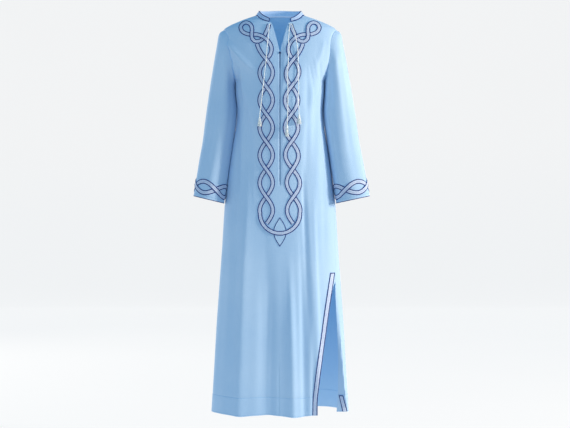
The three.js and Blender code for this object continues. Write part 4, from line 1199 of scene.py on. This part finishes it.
def sleeve_surface(side):
    """The sleeve's grid of points and normals, from the armhole down to the cuff."""
    turn = np.arange(ARMHOLE_STEPS) * 360 / ARMHOLE_STEPS
    sections = [sleeve_section(side, ring, turn) for ring in range(len(SLEEVE["out_x"]))]
    loop = armhole_loop(side)
    cap = mix(loop, sections[0], CAP_SHARE)
    cap += np.maximum(0, np.cos(turn * DEGREE))[:, None] * (side * CAP_FULLNESS, 0, CAP_RISE)
    points = rounded([loop, cap, *sections], SLEEVE_STEPS)
    normals = grid_normals(points) * side
    down = np.linspace(0, 1, len(points))[:, None]
    push = 0
    for head_turn, head, foot_turn, foot, spread, height in zip(*SLEEVE_CREASES[side].values()):
        along = (down - head) / (foot - head)
        inside = np.clip(along, 0, 1)
        away = turned(turn[None], mix(head_turn, foot_turn, inside)) / spread
        push = push + height * faded(along) * bell(away)
    points = points + normals * (push * smooth(down / 0.06))[..., None]
    inner = bell((turn - INNER_FRONT) / INNER_SPREAD)
    inner = inner * smooth(down / 0.2) * smooth((1.2 - down) / 0.4)
    points[..., 1] -= INNER_FORWARD[side] * inner
    return points, grid_normals(points) * side


def sleeve_panel(side, name):
    points, normals = sleeve_surface(side)
    ids = joined(np.arange(points[..., 0].size).reshape(-1, ARMHOLE_STEPS))
    down = joined(walked(np.swapaxes(points, 0, 1)).T)
    uv = np.stack([walked(joined(points)), down[-1:] - down], axis=-1)
    return shell(name, points, points - normals * CLOTH, uv, ids=ids), points, normals


SLEEVE_COTTON = cotton("sleeve_cotton", [CUFF_HEM])
sleeves = {}
for side, word in ((1, "left"), (-1, "right")):
    piece, points, normals = sleeve_panel(side, f"cloth_sleeve_{word}")
    finish_piece(piece, SLEEVE_COTTON, "cotton", f"sleeve_{word}")
    sleeves[word] = (piece, points, normals)

# ---- Ribbons: braids, trims and tapes

# Across a ribbon: the way in from its edge, and the height of its face there.
RIBBON = table("rim height", [
    (0, 0.25),
    (0.4, 0.9),
    (1.4, 1.3),
    (2.4, 0.9),
    (2.9, 0.5),
    (3.8, 0.62),
])
FILL_HEIGHT = 0.8


def across(width):
    """Places across a ribbon of this width, their way in from the edge, and their heights."""
    out = width / 2 - RIBBON["rim"]
    offsets = np.concatenate([-out, [-out[-1] / 2, 0, out[-1] / 2], out[::-1]])
    rims = width / 2 - np.abs(offsets)
    tall = np.concatenate([RIBBON["height"], [FILL_HEIGHT] * 3, RIBBON["height"][::-1]])
    return offsets, rims, tall


def ribbon(name, place, lift, width, closed=False, end_rim=None):
    """A ribbon whose face is place(row, offsets, height), with its lift at each row."""
    offsets, rims, tall = across(width)
    outer, inner = (place(offsets[None], lift[:, None] + high[None]) for high in (tall, 0 * tall))
    ids = np.arange(len(lift) * len(offsets)).reshape(len(lift), -1)
    line = outer[:, len(offsets) // 2]
    along = walked(line)
    rim = np.broadcast_to(rims[None], ids.shape)
    if end_rim is not None:
        rim = np.minimum(rim, end_rim[:, None])
    uv = np.stack(np.broadcast_arrays(offsets[None], along[:, None]), axis=-1)
    if closed:
        ids = np.concatenate([ids, ids[:1]])
        end = along[-1] + np.linalg.norm(line[0] - line[-1])
        uv = np.concatenate([uv, uv[:1] * (1, 0) + (0, end)])
    return shell(name, outer, inner, uv, rim, ids)


def over_at(turns, phase, pitch):
    """How far a strand has risen: it passes over every second crossing."""
    nearest = np.round(turns)
    near = np.clip(1 - np.abs(turns - nearest) * pitch / CROSSING_REACH, 0, 1)
    is_under = (nearest % 2 == 0) == (phase > 0)
    return np.where(is_under, 0, smooth(near * CROSSING_STEEPNESS))


def front_ribbon(name, middle, width, end_rim=None):
    """A ribbon on the front by its middle line: x, z and the share over."""
    x, z, over = middle.T
    ahead = np.gradient(middle[:, :2], axis=0)
    sideways = unit(np.stack([-ahead[:, 1], ahead[:, 0]], axis=1))

    def place(offsets, height):
        return on_front(x[:, None] + offsets * sideways[:, :1],
                        z[:, None] + offsets * sideways[:, 1:], height)

    return ribbon(name, place, mix(UNDER, OVER, np.clip(over, 0, 1)), width, end_rim=end_rim)


def wave_line(side, phase, end_z):
    z = np.append(np.arange(BRAID_TOP_Z, end_z, -BRAID_STEP), end_z)
    turns = (BRAID_TOP_Z - z) / BRAID_PITCH
    x = side * (BRAID_AXIS_X + phase * BRAID_SWING * np.sin(math.pi * turns))
    if side > 0:
        x -= LEFT_SHIFT * smooth((BRAID_TOP_Z - z) / SHIFT_GROWTH) * smooth(
            (z - SHIFT_END_Z) / SHIFT_FADE)
    return np.stack([x, z, over_at(turns, phase, BRAID_PITCH)], axis=1)


def headed(side, head, wave):
    """A waving strand with the line that leads into it."""
    places = [(side * x, z, OVER_SCALE * over) for x, z, over in head]
    places += [tuple(wave[0] * (1, 1, OVER_SCALE)), tuple(wave[4] * (1, 1, OVER_SCALE))]
    line = spaced(rounded(places, LINE_STEPS)[:-LINE_STEPS], BRAID_STEP) / (1, 1, OVER_SCALE)
    return np.concatenate([line[:-1], wave])


def foot_line():
    turn = np.linspace(0, math.pi, FOOT_STEPS)[1:-1]
    near_end = np.minimum(turn, math.pi - turn) * FOOT_RADIUS / CROSSING_REACH
    return np.stack([FOOT_RADIUS * np.cos(turn), FOOT_CENTRE_Z - FOOT_RADIUS * np.sin(turn),
                     smooth(near_end)], axis=1)


BRAID = braid("braid_lavender", LAVENDER, LAVENDER_DEEP)
LEAF = braid("leaf_cotton", COTTON_LIGHT, COTTON_DEEP, dotted=False, edge=LEAF_EDGE)

for side, word in ((1, "left"), (-1, "right")):
    strand = headed(side, KNOT, wave_line(side, 1, INNER_END_Z))
    finish_piece(front_ribbon(f"strand_{word}_inner", strand, BRAID_WIDTH), BRAID, "braid",
                 f"braid_{word}_1")
left_outer = headed(1, TUCK, wave_line(1, -1, FOOT_CENTRE_Z))
right_outer = headed(-1, TUCK, wave_line(-1, -1, FOOT_CENTRE_Z))
outer_strand = np.concatenate([left_outer, foot_line(), right_outer[::-1]])
finish_piece(front_ribbon("strand_outer_and_foot", outer_strand, BRAID_WIDTH), BRAID, "braid",
             "braid_left_2", "braid_right_2", "braid_foot")


def leaf():
    t = np.linspace(0, 1, LEAF_STEPS)
    half = np.maximum(LEAF_POINT, LEAF_HALF_WIDTH * np.sin(math.pi * t))
    z = mix(LEAF_BOTTOM_Z, LEAF_TOP_Z, t)
    slope = np.gradient(half, z)
    shares = np.array([0.3, 0.6, 0.8, 0.86, 0.92, 0.97, 1])
    x = half[:, None] * np.concatenate([-shares[::-1], [0], shares])
    rim = (half[:, None] - np.abs(x)) / np.hypot(1, slope)[:, None]
    level = np.broadcast_to(z[:, None], x.shape)
    tall = np.interp(rim, RIBBON["rim"], RIBBON["height"]) * LEAF_THICKNESS
    outer = on_front(x, level, UNDER + tall)
    inner = on_front(x, level, np.full(x.shape, UNDER))
    return shell("braid_leaf_point", outer, inner, np.stack([x, level], axis=-1), rim)


finish_piece(leaf(), LEAF, "braid", "braid_leaf")


def slit_trim_front():
    z = np.linspace(HEM_Z + 1, SLIT_TRIM_TOP_Z, SLIT_TRIM_STEPS)
    up = (z - TRIM_BEND_Z) / (SLIT_TRIM_TOP_Z - TRIM_BEND_Z)
    straight = mix(slit_front_x(TRIM_BEND_Z), SLIT_TRIM_TOP_X, up)
    edge = np.where(up > 0, straight, slit_front_x(z))
    middle = edge - TRIM_SET_IN - SLIT_TRIM_WIDTH / 2

    def place(offsets, height):
        level = np.broadcast_to(z[:, None], height.shape)
        return on_front(middle[:, None] + offsets, level, height)

    return ribbon("trim_slit_front", place, np.full(len(z), SLIT_TRIM_LIFT), SLIT_TRIM_WIDTH,
                  end_rim=SLIT_TRIM_TOP_Z - z)


def slit_trim_rear():
    z = np.linspace(HEM_Z + 2, HEM_TOP_Z - 2, REAR_TRIM_STEPS)
    x = np.linspace(REAR_TRIM_FOOT_X, REAR_TRIM_TOP_X, REAR_TRIM_STEPS)
    fine = front_angle(x, z)[:, None] + np.linspace(0, REAR_TRIM_TURN, 121)[None]
    level = np.broadcast_to(z[:, None], fine.shape)
    far = walked(back_point(fine, level))

    def place(offsets, height):
        wanted = np.broadcast_to(offsets + SLIT_TRIM_WIDTH / 2, height.shape)
        angle = np.stack([np.interp(row, far[i], fine[i]) for i, row in enumerate(wanted)])
        rows = np.broadcast_to(z[:, None], angle.shape)
        normal = surface_normal(back_point, angle, rows)
        return back_point(angle, rows) + normal * height[..., None]

    return ribbon("trim_slit_rear", place, np.full(len(z), REAR_TRIM_LIFT), SLIT_TRIM_WIDTH,
                  end_rim=HEM_TOP_Z - 2 - z)


finish_piece(slit_trim_front(), BRAID, "braid", "slit_trim_front")
finish_piece(slit_trim_rear(), BRAID, "braid", "slit_trim_rear")


def near_cuff(points, normals):
    """Sampler of a sleeve by the turn round it and the rise above the cuff's edge."""
    up = points[::-1]
    far = walked(np.swapaxes(up, 0, 1))
    rises = np.arange(0, CUFF_REACH, CUFF_STEP)
    both = np.concatenate([up, normals[::-1]], axis=2)
    fine = np.stack([sampled(both[:, k], far[k], rises) for k in range(ARMHOLE_STEPS)], axis=1)

    def at(turn, rise):
        k = turn * ARMHOLE_STEPS
        k0 = np.floor(k).astype(int)
        r = np.clip(rise / CUFF_STEP, 0, len(rises) - 1.001)
        r0 = np.floor(r).astype(int)
        s, t = (k - k0)[..., None], (r - r0)[..., None]
        a, b = k0 % ARMHOLE_STEPS, (k0 + 1) % ARMHOLE_STEPS
        value = mix(mix(fine[r0, a], fine[r0, b], s), mix(fine[r0 + 1, a], fine[r0 + 1, b], s), t)
        return value[..., :3], unit(value[..., 3:])

    return at


def cuff_strand(name, surface, phase):
    turn = np.linspace(0, 1, CUFF_BRAID_STEPS + 1)[:-1]
    turns = CUFF_LENSES * turn + CUFF_BRAID_START
    rise = CUFF_BRAID_RISE + phase * CUFF_BRAID_SWING * np.sin(math.pi * turns)
    slope = phase * CUFF_BRAID_SWING * math.pi * np.cos(math.pi * turns) / CUFF_LENS_LENGTH
    over = over_at(turns, phase, CUFF_LENS_LENGTH)
    lean = np.arctan(slope)[:, None]
    round_it = CUFF_LENSES * CUFF_LENS_LENGTH

    def place(offsets, height):
        point, normal = surface(turn[:, None] - offsets * np.sin(lean) / round_it,
                                rise[:, None] + offsets * np.cos(lean))
        return point + normal * height[..., None]

    lift = mix(UNDER, OVER, over) + CUFF_BRAID_LIFT
    return ribbon(name, place, lift, CUFF_BRAID_WIDTH, closed=True)


EDGING = corded("navy_edging", NAVY_WORN_AND_GAP_SHADE, NAVY, PIPING_PITCH)
for word, (_, points, normals) in sleeves.items():
    surface = near_cuff(points, normals)
    for k, phase in enumerate((1, -1)):
        finish_piece(cuff_strand(f"cuff_strand_{word}_{k + 1}", surface, phase), BRAID, "braid",
                     f"cuff_{word}_{k + 1}")
    piping = tube(points[-1] - normals[-1] * CLOTH / 2, PIPING_RADIUS, 8, closed=True)
    finish_piece(make_mesh(f"cuff_piping_{word}", *piping, sharp=180), EDGING, "edging")

# ---- Collar

COLLAR_RIM = np.array([0, 0.35, 0.9, 1.5, 2.1, 2.6, 3.2])
COLLAR_FRONT_Z = (-21.2, 5)
COLLAR_STEPS = 120
BEAD_RADIUS = 1.3
BEAD_HEIGHT = 0.9
COLLAR_FACE = 0.1
COLLAR_BACK = 1.3
COLLAR_BACK_BEAD = 0.6  # height of the bead at the back, over that at the face


def mirrored(values, flip=1):
    """The values from one front end to the middle of the back, and on to the other front end."""
    return np.concatenate([values, values[-2::-1] * flip])


def collar_band():
    z = np.linspace(*COLLAR_FRONT_Z, COLLAR_STEPS)
    angle = np.linspace(90, 180, COLLAR_STEPS)
    base = np.concatenate([
        body_point(front_angle(neck_half(z), z), z),
        body_point(angle, NECK_SIDE_Z + BACK_RISE * np.cos(angle * DEGREE) ** 2),
    ])
    far = walked(base)
    total = far[-1]
    places = np.concatenate([COLLAR_RIM, np.linspace(COLLAR_RIM[-1], total, 76)[1:]])
    base = sampled(base, far, places)
    height, lean = (at(places / total) for at in curves(COLLAR))
    lean = lean * DEGREE
    inwards = unit(base * (-1, -1, 0))
    up = inwards * np.sin(lean)[:, None] + np.array([0, 0, 1]) * np.cos(lean)[:, None]
    base, up = mirrored(base, (-1, 1, 1)), mirrored(up, (-1, 1, 1))
    rise, end = mirrored(height) - COLLAR_FOOT, mirrored(places)
    inner_rows = np.linspace(0, 1, 9)[None, 1:-1]
    near = COLLAR_RIM[None] * np.minimum(1, rise / 16)[:, None]
    step = np.concatenate([near, mix(near[:, -1:], rise[:, None] - near[:, -1:], inner_rows),
                           rise[:, None] - near[:, ::-1]], axis=1)
    point = base[:, None] + up[:, None] * (COLLAR_FOOT + step)[..., None]
    normal = unit(np.cross(np.gradient(point, axis=0), np.gradient(point, axis=1)))
    rim = np.minimum(np.minimum(step, rise[:, None] - step), end[:, None])
    bead = BEAD_HEIGHT * np.sqrt(np.clip(1 - (rim / BEAD_RADIUS - 1) ** 2, 0, 1))
    uv = np.stack([step - rise[:, None] / 2, np.broadcast_to(walked(base)[:, None], rim.shape)],
                  axis=-1)
    outer = point + normal * (COLLAR_FACE + bead)[..., None]
    inner = point - normal * (COLLAR_BACK + COLLAR_BACK_BEAD * bead)[..., None]
    return shell("collar_stand", outer, inner, uv, rim)


COLLAR_LOOK = braid("collar_band", srgb(184, 208, 240), srgb(158, 188, 228))
collar = finish_piece(collar_band(), COLLAR_LOOK, "braid", "collar")

# ---- Closure: the tape behind the slit, and the hook


def closure_tape():
    z = np.linspace(CLOSURE_FOOT_Z - 10, CLOSURE_TOP_Z, 110)
    x, z = np.meshgrid(np.linspace(-TAPE_HALF_WIDTH, TAPE_HALF_WIDTH, 9), z)
    outer, inner = (on_front(x, z, np.full(x.shape, lift)) for lift in (TAPE_FACE, TAPE_BACK))
    return shell("closure_band", outer, inner, np.stack([x, z], axis=-1))


finish_piece(closure_tape(), EDGING, "edging", "closure_tape")
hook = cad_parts["neck_hook"]
hook.data.materials.clear()
hook.data.materials.append(enamel("hook_enamel"))
